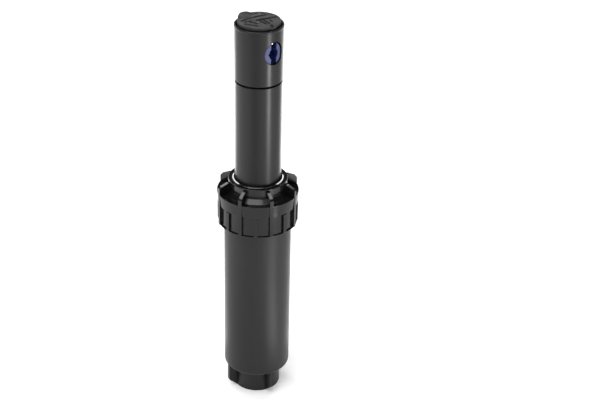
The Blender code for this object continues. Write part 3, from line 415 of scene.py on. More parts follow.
def eased(corners, closed=True):
    """A line of (radius, height, ease) corners, each one rounded by its ease."""
    line = []
    count = len(corners)
    for index, corner in enumerate(corners):
        point = Vector(corner[:2])
        ease = corner[2] if len(corner) > 2 else 0.0
        if ease == 0.0 or (not closed and index in (0, count - 1)):
            line.append(point)
            continue
        before = Vector(corners[index - 1][:2]) - point
        after = Vector(corners[(index + 1) % count][:2]) - point
        first = point + before.normalized() * min(ease, before.length * EASE_SHARE)
        last = point + after.normalized() * min(ease, after.length * EASE_SHARE)
        for step in range(EASE_STEPS + 1):
            share = step / EASE_STEPS
            line.append(first.lerp(point, share).lerp(point.lerp(last, share), share))
    return line


def draw_line(name, points, closed=True):
    """A plane merged to one point and drawn along a line, left in edit mode."""
    leave_edit_mode()
    bpy.ops.mesh.primitive_plane_add(size=SEED)
    piece = named(name)
    bpy.ops.object.mode_set(mode="EDIT")
    bpy.ops.mesh.select_all(action="SELECT")
    bpy.ops.mesh.merge(type="CENTER")
    here = Vector(points[0])
    bpy.ops.transform.translate(value=here)
    for point in points[1:] + (points[:1] if closed else []):
        step = Vector(point) - here
        bpy.ops.mesh.extrude_region_move(TRANSFORM_OT_translate={"value": step})
        here = Vector(point)
    bpy.ops.mesh.select_all(action="SELECT")
    bpy.ops.mesh.remove_doubles(threshold=MERGE)
    return piece


def turned(name, corners, steps, closed=True):
    """A profile of (radius, height, ease) corners spun once round the Z axis."""
    points = [Vector((radius, 0.0, height)) for radius, height in eased(corners, closed)]
    piece = draw_line(name, points, closed)
    bpy.ops.mesh.select_all(action="SELECT")
    bpy.ops.mesh.spin(steps=steps, angle=math.tau, center=(0.0, 0.0, 0.0), axis=(0.0, 0.0, 1.0))
    tidy_mesh()
    leave_edit_mode()
    return piece


def rod(name, radius, low, high, steps):
    """A plain round rod on the Z axis."""
    corners = [(0.0, low), (radius, low), (radius, high), (0.0, high)]
    return turned(name, corners, steps, closed=False)


def plate(name, corners, width, bevel):
    """An upright plate from a (radius, height) outline along +X, with softened edges."""
    points = [Vector((radius, -width / 2, height)) for radius, height in eased(corners)]
    piece = draw_line(name, points)
    bpy.ops.mesh.edge_face_add()
    bpy.ops.mesh.extrude_region_move(TRANSFORM_OT_translate={"value": (0.0, width, 0.0)})
    tidy_mesh()
    bpy.ops.mesh.bevel(offset=bevel, segments=2, affect="EDGES", clamp_overlap=True)
    leave_edit_mode()
    return piece


def turn(piece, angle, axis="Z"):
    """Turns a piece's mesh counterclockwise about an axis through the origin."""
    open_piece(piece)
    bpy.ops.transform.rotate(value=-angle, orient_axis=axis, center_override=(0.0, 0.0, 0.0))
    leave_edit_mode()
    return piece


def shift(piece, value):
    """Moves a piece's mesh."""
    open_piece(piece)
    bpy.ops.transform.translate(value=value)
    leave_edit_mode()
    return piece


def copy_of(piece):
    """A copy with its own mesh."""
    pick(piece)
    bpy.ops.object.duplicate(linked=False)
    return bpy.context.object


def joined(pieces):
    """Several pieces as one, under the first one's name."""
    leave_edit_mode()
    for piece in pieces:
        piece.select_set(True)
    bpy.context.view_layer.objects.active = pieces[0]
    bpy.ops.object.join()
    return bpy.context.object


def ringed(piece, count, azimuth):
    """Copies of a piece that points along +X, set round the axis from an azimuth."""
    ring = [piece] + [copy_of(piece) for _ in range(count - 1)]
    for index, item in enumerate(ring):
        turn(item, azimuth - math.pi / 2 + math.tau * index / count)
    return joined(ring)


def combine(piece, tool, operation):
    """Joins a piece with a tool, or cuts it by the tool, which is used up."""
    modify(piece, "BOOLEAN", operation=operation, solver="EXACT", object=tool)
    bpy.data.objects.remove(tool, do_unlink=True)


def raise_points(piece, heights):
    """Raises a piece's points by their heights, through a vertex group and a modifier."""
    most = max(heights)
    group = piece.vertex_groups.new(name="raised")
    for index, height in enumerate(heights):
        if height > 0.0:
            group.add([index], height / most, "REPLACE")
    modify(piece, "DISPLACE", direction="Z", strength=most, mid_level=0.0, vertex_group=group.name)
    piece.vertex_groups.clear()


def bar(name, size, centre, bevel):
    """A box with rounded edges."""
    leave_edit_mode()
    bpy.ops.mesh.primitive_cube_add(size=1.0)
    piece = named(name)
    bpy.ops.object.mode_set(mode="EDIT")
    bpy.ops.mesh.select_all(action="SELECT")
    bpy.ops.transform.resize(value=size, center_override=(0.0, 0.0, 0.0))
    bpy.ops.mesh.bevel(offset=bevel, segments=3, affect="EDGES", clamp_overlap=True)
    bpy.ops.mesh.select_all(action="SELECT")
    bpy.ops.transform.translate(value=centre)
    leave_edit_mode()
    return piece


def around(heading, distance, height):
    """A place at an azimuth from the axis."""
    return (distance * math.sin(heading), -distance * math.cos(heading), height)


def nozzle_root(sizes):
    """Height at which the nozzle's axis meets the turret's axis."""
    return turret_high.z - NOZZLE_BELOW_TOP - sizes.turret_radius * math.tan(sizes.nozzle_tilt)


def aimed(piece, sizes):
    """Turns a piece made along +Z onto the nozzle's axis."""
    turn(piece, math.pi / 2 - sizes.nozzle_tilt, axis="X")
    return shift(piece, (0.0, 0.0, nozzle_root(sizes)))


def nozzle_face(sizes):
    """Distance of the nozzle's face along its axis."""
    inside = sizes.turret_radius - sizes.nozzle_radius * math.sin(sizes.nozzle_tilt)
    return inside / math.cos(sizes.nozzle_tilt) - FIT


def nozzle_front(sizes):
    """Radius of the nozzle's front, which follows the turret's wall."""
    return sizes.turret_radius - NOZZLE_RECESS - FIT


def settle(piece, body, node, finish):
    """Smooths a piece, keeps its flat faces flat and sets it on its body with its finish."""
    pick(piece)
    bpy.ops.object.shade_smooth_by_angle(angle=SMOOTH_ANGLE)
    modify(piece, "WEIGHTED_NORMAL", keep_sharp=True)
    piece.data.materials.clear()
    piece.data.materials.append(finishes()[finish])
    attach(piece, body)
    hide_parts(node)
    leave_edit_mode()


class Wire:
    """One socket of a material. Sums, differences and products of wires add Math nodes."""

    def __init__(self, socket):
        self.socket = socket

    def node(self, kind, settings, values, out=0):
        """Adds a node: its type, its settings first, then its sockets' values or links."""
        tree = self.socket.id_data
        made = tree.nodes.new(kind)
        for key, value in settings.items():
            setattr(made, key, value)
        for key, value in values.items():
            if isinstance(value, Wire):
                tree.links.new(value.socket, made.inputs[key])
            else:
                made.inputs[key].default_value = value
        return Wire(made.outputs[out])

    def math(self, operation, first, second):
        """Adds a Math node."""
        return self.node("ShaderNodeMath", {"operation": operation}, {0: first, 1: second})

    def __add__(self, other):
        return self.math("ADD", self, other)

    __radd__ = __add__

    def __sub__(self, other):
        return self.math("SUBTRACT", self, other)

    def __rsub__(self, other):
        return self.math("SUBTRACT", other, self)

    def __mul__(self, other):
        return self.math("MULTIPLY", self, other)

    __rmul__ = __mul__


def new_finish(name):
    """A material's shader and its Object coordinates."""
    material = bpy.data.materials.new(name)
    material.use_nodes = True
    shader = material.node_tree.nodes["Principled BSDF"]
    spot = Wire(material.node_tree.nodes.new("ShaderNodeTexCoord").outputs["Object"])
    return material, shader, spot


def feed(shader, socket, wire):
    """Links a wire to one of the shader's sockets."""
    shader.id_data.links.new(wire.socket, shader.inputs[socket])


def noise(spot, scale, detail, stretch=(1.0, 1.0, 1.0)):
    """A noise value with features of about 1 / scale metres."""
    place = spot.node("ShaderNodeMapping", {}, {"Vector": spot, "Scale": stretch}, "Vector")
    values = {"Vector": place, "Scale": scale, "Detail": detail}
    return spot.node("ShaderNodeTexNoise", {}, values, "Fac")


def tinted(spot, mask, low, high):
    """A colour that runs from low to high with a mask."""
    values = {0: mask, 6: (*low, 1.0), 7: (*high, 1.0)}
    return spot.node("ShaderNodeMix", {"data_type": "RGBA"}, values, 2)


def scaled(tone, factor):
    """A colour made lighter or darker."""
    return tuple(min(1.0, channel * factor) for channel in tone)


def ramp(value, low, high):
    """A mask that rises from 0 to 1 while a value goes from low to high."""
    values = {"Value": value, "From Min": low, "From Max": high}
    return value.node("ShaderNodeMapRange", {}, values)


def worn_edges(spot, low, high):
    """A mask of the outer edges of a piece, from the bend of its surface."""
    return ramp(spot.node("ShaderNodeNewGeometry", {}, {}, "Pointiness"), low, high)


def bumped(shader, spot, height, strength, depth):
    """Feeds a height to the shader's normal."""
    values = {"Height": height, "Strength": strength, "Distance": depth}
    feed(shader, "Normal", spot.node("ShaderNodeBump", {}, values, "Normal"))


def moulded_plastic(name, tone, roughness, grain, level):
    """Injection moulded plastic: flow streaks, fine spark grain and rubbed edges."""
    material, shader, spot = new_finish(name)
    streaks = noise(spot, scale=1.0, detail=3.0, stretch=(420.0, 420.0, 16.0))
    clouds = noise(spot, scale=55.0, detail=2.0)
    fine = noise(spot, scale=2300.0, detail=2.0)
    edges = worn_edges(spot, low=0.53, high=0.62)
    shade = 0.35 * streaks + 0.45 * clouds + 0.35 * edges
    feed(shader, "Base Color", tinted(spot, shade, scaled(tone, 0.72), scaled(tone, 1.4)))
    feed(shader, "Roughness", roughness - 0.05 + 0.05 * streaks + 0.08 * clouds - 0.06 * edges)
    shader.inputs["Specular IOR Level"].default_value = level
    bumped(shader, spot, fine + 0.4 * streaks, strength=grain, depth=0.00006)
    return material


def moulded_rubber(name, tone, roughness, bloom, index, grain):
    """Moulded rubber: bloom in soft patches, a fine skin, paler edges and painted shade in its
    grooves.
    """
    material, shader, spot = new_finish(name)
    patches = noise(spot, scale=260.0, detail=4.0)
    skin = noise(spot, scale=1900.0, detail=3.0)
    edges = worn_edges(spot, low=0.51, high=0.60)
    # Painted shade: the colour darkens with the groove depth, standing in for the shade in the
    # grooves
    painted_groove_shade = spot.node("ShaderNodeAttribute", {"attribute_name": GROOVE}, {}, "Fac")
    shade = (0.8 * patches + 0.3 * skin + bloom * edges) * (1.0 - 0.9 * painted_groove_shade)
    feed(shader, "Base Color", tinted(spot, shade, scaled(tone, 0.1), scaled(tone, 1.9)))
    feed(shader, "Roughness", roughness - 0.06 + 0.12 * patches)
    shader.inputs["IOR"].default_value = index
    shader.inputs["Specular IOR Level"].default_value = 0.5
    bumped(shader, spot, skin + 0.5 * patches, strength=grain, depth=0.00012)
    return material


def off_axis(spot):
    """How far a spot lies from the Z axis."""
    flatten = {0: spot, 1: (1.0, 1.0, 0.0)}
    flat = spot.node("ShaderNodeVectorMath", {"operation": "MULTIPLY"}, flatten, "Vector")
    return spot.node("ShaderNodeVectorMath", {"operation": "LENGTH"}, {0: flat}, "Value")


def nozzle_plastic(name, tone):
    """Smooth coloured plastic, with painted shade that darkens its cup behind the face."""
    material, shader, spot = new_finish(name)
    # Painted shade: below the face the colour turns navy, standing in for the shade inside the cup
    painted_cup_shade = bpy.context.scene.sprinkler_finishes.nozzle_painted_shade
    front = nozzle_front(bpy.context.scene.sprinkler_sizes)
    outside_painted_shade = ramp(off_axis(spot), front - 2 * NOZZLE_SHADE_FADE, front - NOZZLE_SHADE_FADE)
    flow = noise(spot, scale=320.0, detail=2.0)
    fine = noise(spot, scale=2600.0, detail=2.0)
    shade = outside_painted_shade * (0.8 + 0.3 * flow)
    feed(shader, "Base Color", tinted(spot, shade, painted_cup_shade, scaled(tone, 1.1)))
    feed(shader, "Roughness", 0.42 + 0.12 * flow)
    shader.inputs["Specular IOR Level"].default_value = 0.2
    bumped(shader, spot, fine, strength=0.10, depth=0.00005)
    return material


def drawn_steel(name, tone):
    """Stainless steel with fine turning marks."""
    material, shader, spot = new_finish(name)
    marks = noise(spot, scale=1.0, detail=3.0, stretch=(300.0, 300.0, 6000.0))
    clouds = noise(spot, scale=500.0, detail=2.0)
    feed(shader, "Base Color", tinted(spot, clouds, scaled(tone, 0.85), scaled(tone, 1.1)))
    feed(shader, "Roughness", 0.22 + 0.16 * marks)
    shader.inputs["Metallic"].default_value = 1.0
    bumped(shader, spot, marks, strength=0.12, depth=0.00004)
    return material


def plastic(tone, roughness, grain, level):
    """How one moulded plastic is made."""
    return moulded_plastic, tone, {"roughness": roughness, "grain": grain, "level": level}


def rubber(tone, roughness, bloom, index, grain):
    """How one moulded rubber is made."""
    settings = {"roughness": roughness, "bloom": bloom, "index": index, "grain": grain}
    return moulded_rubber, tone, settings


FINISHES = {
    "satin_charcoal": plastic("charcoal", roughness=0.29, grain=0.06, level=0.22),
    "matt_charcoal": plastic("charcoal", roughness=0.43, grain=0.10, level=0.32),
    "gloss_black": plastic("gloss_black", roughness=0.17, grain=0.03, level=0.36),
    "glossy_seal": rubber("seal_black", roughness=0.09, bloom=0.2, index=2.3, grain=0.02),
    # The cover's finish paints shade in its grooves
    "grey_cover": rubber("cover_grey", roughness=0.70, bloom=0.5, index=1.3, grain=0.35),
    # Paints shade deep in the nozzle's cup
    "bleached_blue": (nozzle_plastic, "nozzle_blue", {}),
    "natural_acetal": plastic("acetal", roughness=0.40, grain=0.06, level=0.5),
    "dark_filter": plastic("filter_grey", roughness=0.45, grain=0.10, level=0.5),
    "drawn_steel": (drawn_steel, "steel", {}),
}


def finishes():
    """The finishes, made once from the colours and then shared."""
    tones = bpy.context.scene.sprinkler_finishes
    made = {}
    for name, (maker, tone, settings) in FINISHES.items():
        known = bpy.data.materials.get(name)
        made[name] = known or maker(name, getattr(tones, tone), **settings)
    return made


def thread_rings(radius, depth, first, order):
    """Profile corners of a ring thread, in the order of travel."""
    corners = []
    for index in range(THREAD_RINGS):
        height = first + order * index * THREAD_PITCH
        corners.append((radius, height - order * THREAD_ROOT / 2))
        corners.append((radius + depth, height - order * THREAD_TIP / 2))
        corners.append((radius + depth, height + order * THREAD_TIP / 2))
        corners.append((radius, height + order * THREAD_ROOT / 2))
    return corners


def pipe_thread(sizes):
    """Helical ridge in the inlet's bore, rooted in its wall."""
    root = sizes.inlet_bore + PIPE_THREAD_DEPTH / 4
    tip = sizes.inlet_bore - PIPE_THREAD_DEPTH
    wide = PIPE_PITCH * PIPE_ROOT_SHARE
    narrow = PIPE_PITCH * PIPE_TIP_SHARE
    corners = ((root, -wide), (tip, -narrow), (tip, narrow), (root, wide))
    points = [Vector((radius, 0.0, PIPE_PITCH + height)) for radius, height in corners]
    ridge = draw_line("inlet_thread", points)
    helix = {"angle": math.tau, "iterations": PIPE_TURNS, "screw_offset": PIPE_PITCH}
    modify(ridge, "SCREW", steps=PIPE_STEPS, render_steps=PIPE_STEPS, **helix)
    open_piece(ridge)
    bpy.ops.mesh.select_all(action="DESELECT")
    bpy.ops.mesh.select_non_manifold(extend=False)
    bpy.ops.mesh.fill_holes(sides=4)
    tidy_mesh()
    leave_edit_mode()
    return ridge


class SPRINKLER_OT_body(Operator):
    """Models the straight body with its inlet boss, gusset fins and threads"""

    bl_idname = "sprinkler.body"
    bl_label = "Body"

    def execute(self, context):
        sizes = context.scene.sprinkler_sizes
        top = case_high.z
        foot = sizes.inlet_height
        floor = foot + FLOOR_THICKNESS
        bore = sizes.body_radius - sizes.body_wall
        corners = [
            (sizes.body_radius, top, SOFT),
            *thread_rings(sizes.body_radius, sizes.thread_depth, top - THREAD_FROM_TOP, -1),
            (sizes.body_radius, foot, sizes.body_edge),
            (sizes.inlet_radius, foot, WIDE),
            (sizes.inlet_radius, 0.0, WIDE),
            (sizes.inlet_bore + INLET_CHAMFER, 0.0),
            (sizes.inlet_bore, INLET_CHAMFER),
            (sizes.inlet_bore, sizes.inlet_depth),
            (sizes.throat_radius, sizes.inlet_depth, SOFT),
            (sizes.throat_radius, floor, WIDE),
            (bore, floor, FLOOR_EASE),
            (bore, top, SOFT),
        ]
        body = turned("sprinkler_body", corners, sizes.round_steps)
        root = (sizes.inlet_radius + sizes.inlet_bore) / 2
        fin_top = foot + FLOOR_THICKNESS * FIN_ROOT_SHARE
        outline = [
            (root, FIT),
            (sizes.inlet_radius, FIT),
            (FIN_REACH, FIN_RISE, FIN_CORNER),
            (FIN_REACH, fin_top),
            (root, fin_top),
        ]
        fin = plate("body_fin", outline, sizes.fin_width, FINE)
        combine(body, ringed(fin, FIN_COUNT, sizes.fin_azimuth), "UNION")
        spline_root = bore + sizes.body_wall / 2
        middle = ((SPLINE_REACH + spline_root) / 2, 0.0, (floor + SPLINE_TOP) / 2)
        size = (spline_root - SPLINE_REACH, SPLINE_WIDTH, SPLINE_TOP - floor + SPLINE_OVERLAP)
        spline = bar("body_spline", size, middle, CRISP)
        body = joined([body, ringed(spline, SPLINE_COUNT, 0.0), pipe_thread(sizes)])
        settle(body, "case", "body_case", "matt_charcoal")
        return {"FINISHED"}


class SPRINKLER_OT_cap(Operator):
    """Models the screw cap with its collar, sloped pockets and grip ribs"""

    bl_idname = "sprinkler.cap"
    bl_label = "Cap"

    def execute(self, context):
        sizes = context.scene.sprinkler_sizes
        top = cap_high.z
        base = cap_low.z
        foot = base + FOOT_RING_HEIGHT
        foot_ring = sizes.panel_radius + FOOT_RING
        seat = top - CAP_HEAD
        pocket = seat + SHOULDER_ABOVE_SEAT
        skirt_top = pocket + LIP_HEIGHT
        band = skirt_top - BAND_HEIGHT
        lip = sizes.skirt_radius + CAP_FLARE
        cone_top = top - COLLAR_HEIGHT
        cone_foot = sizes.collar_radius + cone_top - pocket
        last_ring = case_high.z - THREAD_FROM_TOP + THREAD_PITCH / 2
        first_ring = last_ring - THREAD_PITCH * (THREAD_RINGS - 1)
        corners = [
            (sizes.collar_bore, top, CRISP),
            (sizes.collar_radius, top, ROUND),
            (sizes.collar_radius, cone_top, ROUND),
            (cone_foot, pocket, FINE),
            (lip - 2 * LIP_WIDTH, pocket),
            (lip - LIP_WIDTH, skirt_top, FINE),
            (lip, skirt_top, ROUND),
            (sizes.skirt_radius, band, CRISP),
            (sizes.panel_radius, band - PANEL_STEP, CRISP),
            (sizes.panel_radius, foot),
            (foot_ring, foot, HAIR),
            (foot_ring, base, HAIR),
            (sizes.cap_bore, base, FINE),
            *thread_rings(sizes.cap_bore, -sizes.thread_depth, first_ring, 1),
            (sizes.cap_bore, seat),
            (sizes.collar_bore, seat),
        ]
        cap = turned("screw_cap", corners, sizes.round_steps)
        root = (sizes.cap_bore + sizes.skirt_radius) / 2
        collar_root = (sizes.collar_bore + sizes.collar_radius) / 2
        reach = sizes.skirt_radius + RIB_PROUD
        rib_top = top - RIB_BELOW_TOP
        under = seat + SHOULDER_ABOVE_SEAT / 2
        outline = [
            (collar_root, rib_top),
            (sizes.collar_radius + RIB_CORNER, rib_top, RIB_SHOULDER),
            (reach, rib_top - RIB_DROP, RIB_CORNER),
            (reach, foot),
            (root, foot),
            (root, under),
            (collar_root, under),
        ]
        rib = plate("cap_rib", outline, sizes.rib_width, RIB_BEVEL)
        ribs = ringed(rib, MAIN_RIBS, sizes.rib_azimuth)
        side_reach = sizes.skirt_radius + SIDE_RIB_PROUD
        outline = [
            (root, foot),
            (side_reach, foot, SOFT),
            (side_reach, band, RIB_SHOULDER),
            (root, band),
        ]
        side_rib = plate("cap_side_rib", outline, sizes.rib_width, FINE)
        side_ribs = ringed(side_rib, MAIN_RIBS, sizes.rib_azimuth + math.pi / MAIN_RIBS)
        combine(cap, joined([ribs, side_ribs]), "UNION")
        settle(cap, "case", "body_cap", "gloss_black")
        return {"FINISHED"}


class SPRINKLER_OT_seal(Operator):
    """Models the wiper seal in the collar"""

    bl_idname = "sprinkler.seal"
    bl_label = "Wiper seal"

    def execute(self, context):
        sizes = context.scene.sprinkler_sizes
        bore = sizes.turret_radius + TURRET_LIP
        inner = bore + FIT / 2
        lip = bore + SEAL_LIP + FIT / 2
        top = cap_high.z + SEAL_ABOVE_COLLAR
        fall = (lip - inner) * math.tan(SEAL_LIP_TILT)
        flange = seal_high.x
        step = seal_low.z + SEAL_FLANGE
        corners = [
            (bore, seal_high.z),
            (inner, seal_high.z + FIT),
            (inner, top, HAIR),
            (lip, top - fall, HAIR),
            (lip, step, SOFT),
            (flange, step, FINE),
            (flange, seal_low.z, FINE),
            (bore, seal_low.z, ROUND),
        ]
        seal = turned("wiper_ring", corners, sizes.round_steps)
        settle(seal, "case", "wiper_seal", "glossy_seal")
        return {"FINISHED"}


class SPRINKLER_OT_riser(Operator):
    """Models the riser with its foot flange and top plate"""

    bl_idname = "sprinkler.riser"
    bl_label = "Riser"

    def execute(self, context):
        sizes = context.scene.sprinkler_sizes
        top = riser_high.z
        foot = riser_low.z
        bore = sizes.riser_radius - sizes.riser_wall
        plate_base = top - RISER_PLATE
        flange = riser_high.x
        corners = [
            (sizes.riser_radius, top, FINE),
            (sizes.riser_radius, foot + RISER_FLANGE, FINE),
            (flange, foot + RISER_FLANGE, FINE),
            (flange, foot, FINE),
            (bore, foot, FINE),
            (bore, plate_base),
            (PLATE_BORE, plate_base),
            (PLATE_BORE, top),
        ]
        riser = turned("riser_sleeve", corners, sizes.round_steps)
        hole = rod("trip_hole", TRIP_HOLE, plate_base - FIT, top + FIT, HOLE_STEPS)
        combine(riser, shift(hole, (0.0, TRIP_OFFSET, 0.0)), "DIFFERENCE")
        settle(riser, "riser", "riser_tube", "satin_charcoal")
        return {"FINISHED"}


class SPRINKLER_OT_turret(Operator):
    """Models the turret shell with its rim and nozzle mouth"""

    bl_idname = "sprinkler.turret"
    bl_label = "Turret"

    def execute(self, context):
        sizes = context.scene.sprinkler_sizes
        top = turret_high.z
        base = turret_low.z
        foot = base + 2 * FIT
        radius = sizes.turret_radius
        bore = radius - sizes.turret_wall
        rim_bore = radius - RIM_WALL
        ledge = top - RIM_DEPTH
        lip_foot = top - TURRET_LIP_HEIGHT
        corners = [
            (radius, top, CRISP),
            (radius + TURRET_LIP, top - TURRET_LIP, CRISP),
            (radius + TURRET_LIP, lip_foot + TURRET_LIP, CRISP),
            (radius, lip_foot, CRISP),
            (radius, foot, HAIR),
            (bore, foot),
            (bore, ledge),
            (rim_bore, ledge),
            (rim_bore, top, CRISP),
        ]
        turret = turned("turret_shell", corners, sizes.round_steps)
        reach = radius - sizes.turret_wall / 2 - STOP_ROOT
        size = (reach, STOP_WIDTH, STOP_HEIGHT)
        middle = (STOP_ROOT + reach / 2, 0.0, base + STOP_LIFT + STOP_HEIGHT / 2)
        combine(turret, bar("turret_stop", size, middle, CRISP), "UNION")
        mouth_radius = sizes.nozzle_radius + NOZZLE_GAP
        mouth = rod("nozzle_mouth", mouth_radius, bore / 2, 2 * radius, MOUTH_STEPS)
        combine(turret, aimed(mouth, sizes), "DIFFERENCE")
        settle(turret, "turret", "turret_housing", "satin_charcoal")
        return {"FINISHED"}


class SPRINKLER_OT_nozzle(Operator):
    """Models the blue nozzle plug with its slotted cup and two ports"""

    bl_idname = "sprinkler.nozzle"
    bl_label = "Nozzle"

    def execute(self, context):
        sizes = context.scene.sprinkler_sizes
        face = nozzle_face(sizes)
        back = face - NOZZLE_LENGTH
        floor = face - NOZZLE_CUP
        radius = sizes.nozzle_radius
        cup = NOZZLE_CUP_RADIUS
        port = sizes.nozzle_port
        end = face + 2 * radius
        corners = [
            (cup, end),
            (radius, end),
            (radius, back, SOFT),
            (cup, back),
            (port, floor - port),
            (port, floor, SOFT),
            (cup, floor, SOFT),
        ]
        nozzle = turned("nozzle_plug", corners, NOZZLE_STEPS)
        size = (NOZZLE_SLOT, 4 * radius, 4 * radius)
        slot = bar("nozzle_slot", size, (0.0, 0.0, floor + FIT + 2 * radius), SOFT)
        combine(nozzle, slot, "DIFFERENCE")
        side = rod("nozzle_side_port", NOZZLE_SIDE_PORT, back - FIT, end + FIT, HOLE_STEPS)
        combine(nozzle, shift(side, (-NOZZLE_SIDE_OFFSET, 0.0, 0.0)), "DIFFERENCE")
        aimed(nozzle, sizes)
        front = nozzle_front(sizes)
        wall = rod("nozzle_front", front, turret_low.z, turret_high.z, NOZZLE_FRONT_STEPS)
        combine(nozzle, wall, "INTERSECT")
        # Its finish paints shade deep in the cup
        settle(nozzle, "turret", "nozzle_insert", "bleached_blue")
        return {"FINISHED"}


def groove_share(x, y):
    """How deep a point of the cover lies in its grooves, from 0 to 1."""
    turn_by = Matrix.Rotation(GROOVE_TURN, 2)
    most = 0.0
    for x0, y0, x1, y1, half in COVER_GROOVES:
        start = turn_by @ Vector((x0, y0)) / MM_PER_METRE
        end = turn_by @ Vector((x1, y1)) / MM_PER_METRE
        along = end - start
        reach = Vector((x, y)) - start
        share = max(0.0, min(1.0, reach.dot(along) / along.length_squared))
        off = (reach - along * share).length
        depth = max(0.0, min(1.0, (half / MM_PER_METRE - off) / GROOVE_SLOPE + 0.5))
        most = max(most, depth * depth * (3.0 - 2.0 * depth))
    return most


class SPRINKLER_OT_cover(Operator):
    """Models the rubber cover with its hump, grooves, notch and screw holes"""

    bl_idname = "sprinkler.cover"
    bl_label = "Rubber cover"

    def execute(self, context):
        sizes = context.scene.sprinkler_sizes
        base = cover_low.z
        radius = cover_high.x - COVER_GAP
        shoulder = base + COVER_HEIGHT - sizes.relief
        neck = radius - COVER_NECK
        corners = []
        for ring in range(COVER_RINGS):
            share = ring / COVER_RINGS
            height = shoulder + COVER_CROWN * (1.0 - share * share)
            corners.append((share * (radius - COVER_EDGE), height))
        corners += [
            (radius, shoulder, COVER_EDGE),
            (radius, shoulder - COVER_EDGE, FINE),
            (neck, shoulder - COVER_UNDERCUT, FINE),
            (neck, base, FINE),
            (0.0, base),
        ]
        cover = turned("turret_cover", corners, COVER_STEPS, closed=False)
        raise_points(cover, self.heights(cover, shoulder, sizes.relief))
        size = (COVER_NOTCH_WIDTH, 4 * COVER_HEIGHT, COVER_HEIGHT)
        notch = bar("cover_notch", size, (0.0, 0.0, COVER_HEIGHT / 2), SOFT)
        turn(notch, COVER_NOTCH_TILT, axis="X")
        shift(notch, (0.0, -radius, shoulder - COVER_EDGE))
        combine(cover, notch, "DIFFERENCE")
        radius_screw = around(0.0, RADIUS_SCREW_OFFSET, 0.0)
        arc_screw = around(ARC_SCREW_AZIMUTH, ARC_SCREW_OFFSET, 0.0)
        for place in (radius_screw, arc_screw):
            hole = rod("cover_hole", COVER_HOLE, base - FIT, cover_high.z + FIT, HOLE_STEPS)
            combine(cover, shift(hole, place), "DIFFERENCE")
        # Groove depth, which the finish also reads to paint shade in the grooves
        depth = cover.data.attributes.new(GROOVE, "FLOAT", "POINT")
        for vertex in cover.data.vertices:
            depth.data[vertex.index].value = groove_share(vertex.co.x, vertex.co.y)
        settle(cover, "turret", "rubber_cover", "grey_cover")
        return {"FINISHED"}

    def heights(self, cover, shoulder, relief):
        """How far each point of the cover goes up for the hump and between the grooves."""
        hump_x, hump_y, _ = around(COVER_HUMP_AZIMUTH, COVER_HUMP_OFFSET, 0.0)
        found = []
        for vertex in cover.data.vertices:
            x, y, z = vertex.co
            off = math.hypot(x - hump_x, y - hump_y) / COVER_HUMP_RADIUS
            level = shoulder + COVER_HUMP * math.sqrt(max(0.0, 1.0 - off * off))
            hump = max(0.0, level - z) if off < 1.0 else 0.0
            on_top = z > shoulder - COVER_EDGE / 2
            found.append(hump + relief * (1.0 - groove_share(x, y)) if on_top else 0.0)
        return found


class SPRINKLER_OT_radius_screw(Operator):
    """Models the radius screw with its slot"""

    bl_idname = "sprinkler.radius_screw"
    bl_label = "Radius screw"

    def execute(self, context):
        low = radius_low.z
        top = radius_high.z
        radius = RADIUS_SCREW_RADIUS
        corners = [(0.0, top), (radius, top, CRISP), (radius, low, FINE), (0.0, low)]
        screw = turned("radius_adjusting_screw", corners, SCREW_STEPS, closed=False)
        combine(screw, bar("screw_slot", SCREW_SLOT, (0.0, 0.0, top), HAIR), "DIFFERENCE")
        shift(screw, (0.0, -RADIUS_SCREW_OFFSET, 0.0))
        settle(screw, "radius_adjuster", "radius_screw", "drawn_steel")
        return {"FINISHED"}


class SPRINKLER_OT_inside(Operator):
    """Finishes the inner pieces that are carried over from the frame"""

    bl_idname = "sprinkler.inside"
    bl_label = "Inner pieces"

    def execute(self, context):
        made = finishes()
        for row in frame["record"]["subparts"]:
            node = frame["nodes"][row["node"]]
            if node.hide_render:
                continue
            node.data.materials.clear()
            node.data.materials.append(made[SLOT_FINISHES[row["material_slot"]]])
        return {"FINISHED"}


def looking(place, aim, lean):
    """How a lamp or camera is turned to look at a point, leaning to one side."""
    look = (Vector(aim) - Vector(place)).to_track_quat("-Z", "Y").to_matrix()
    return (look @ Matrix.Rotation(lean, 3, "Z")).to_euler()


def soft_lamp(name, place, size, power):
    """A rectangular soft lamp that the camera doesn't see."""
    leave_edit_mode()
    bpy.ops.object.light_add(type="AREA", location=place)
    lamp = bpy.context.object
    lamp.name = name
    lamp.data.shape = "RECTANGLE"
    lamp.data.size, lamp.data.size_y = size
    lamp.data.energy = power
    lamp.visible_camera = False
    return lamp


def seen_directly(spot):
    """One where the camera, a reflection or clear glass looks, else nothing."""
    rays = ("Is Camera Ray", "Is Glossy Ray", "Is Transmission Ray")
    camera, glossy, clear = (spot.node("ShaderNodeLightPath", {}, {}, ray) for ray in rays)
    return spot.math("MAXIMUM", spot.math("MAXIMUM", camera, glossy), clear)


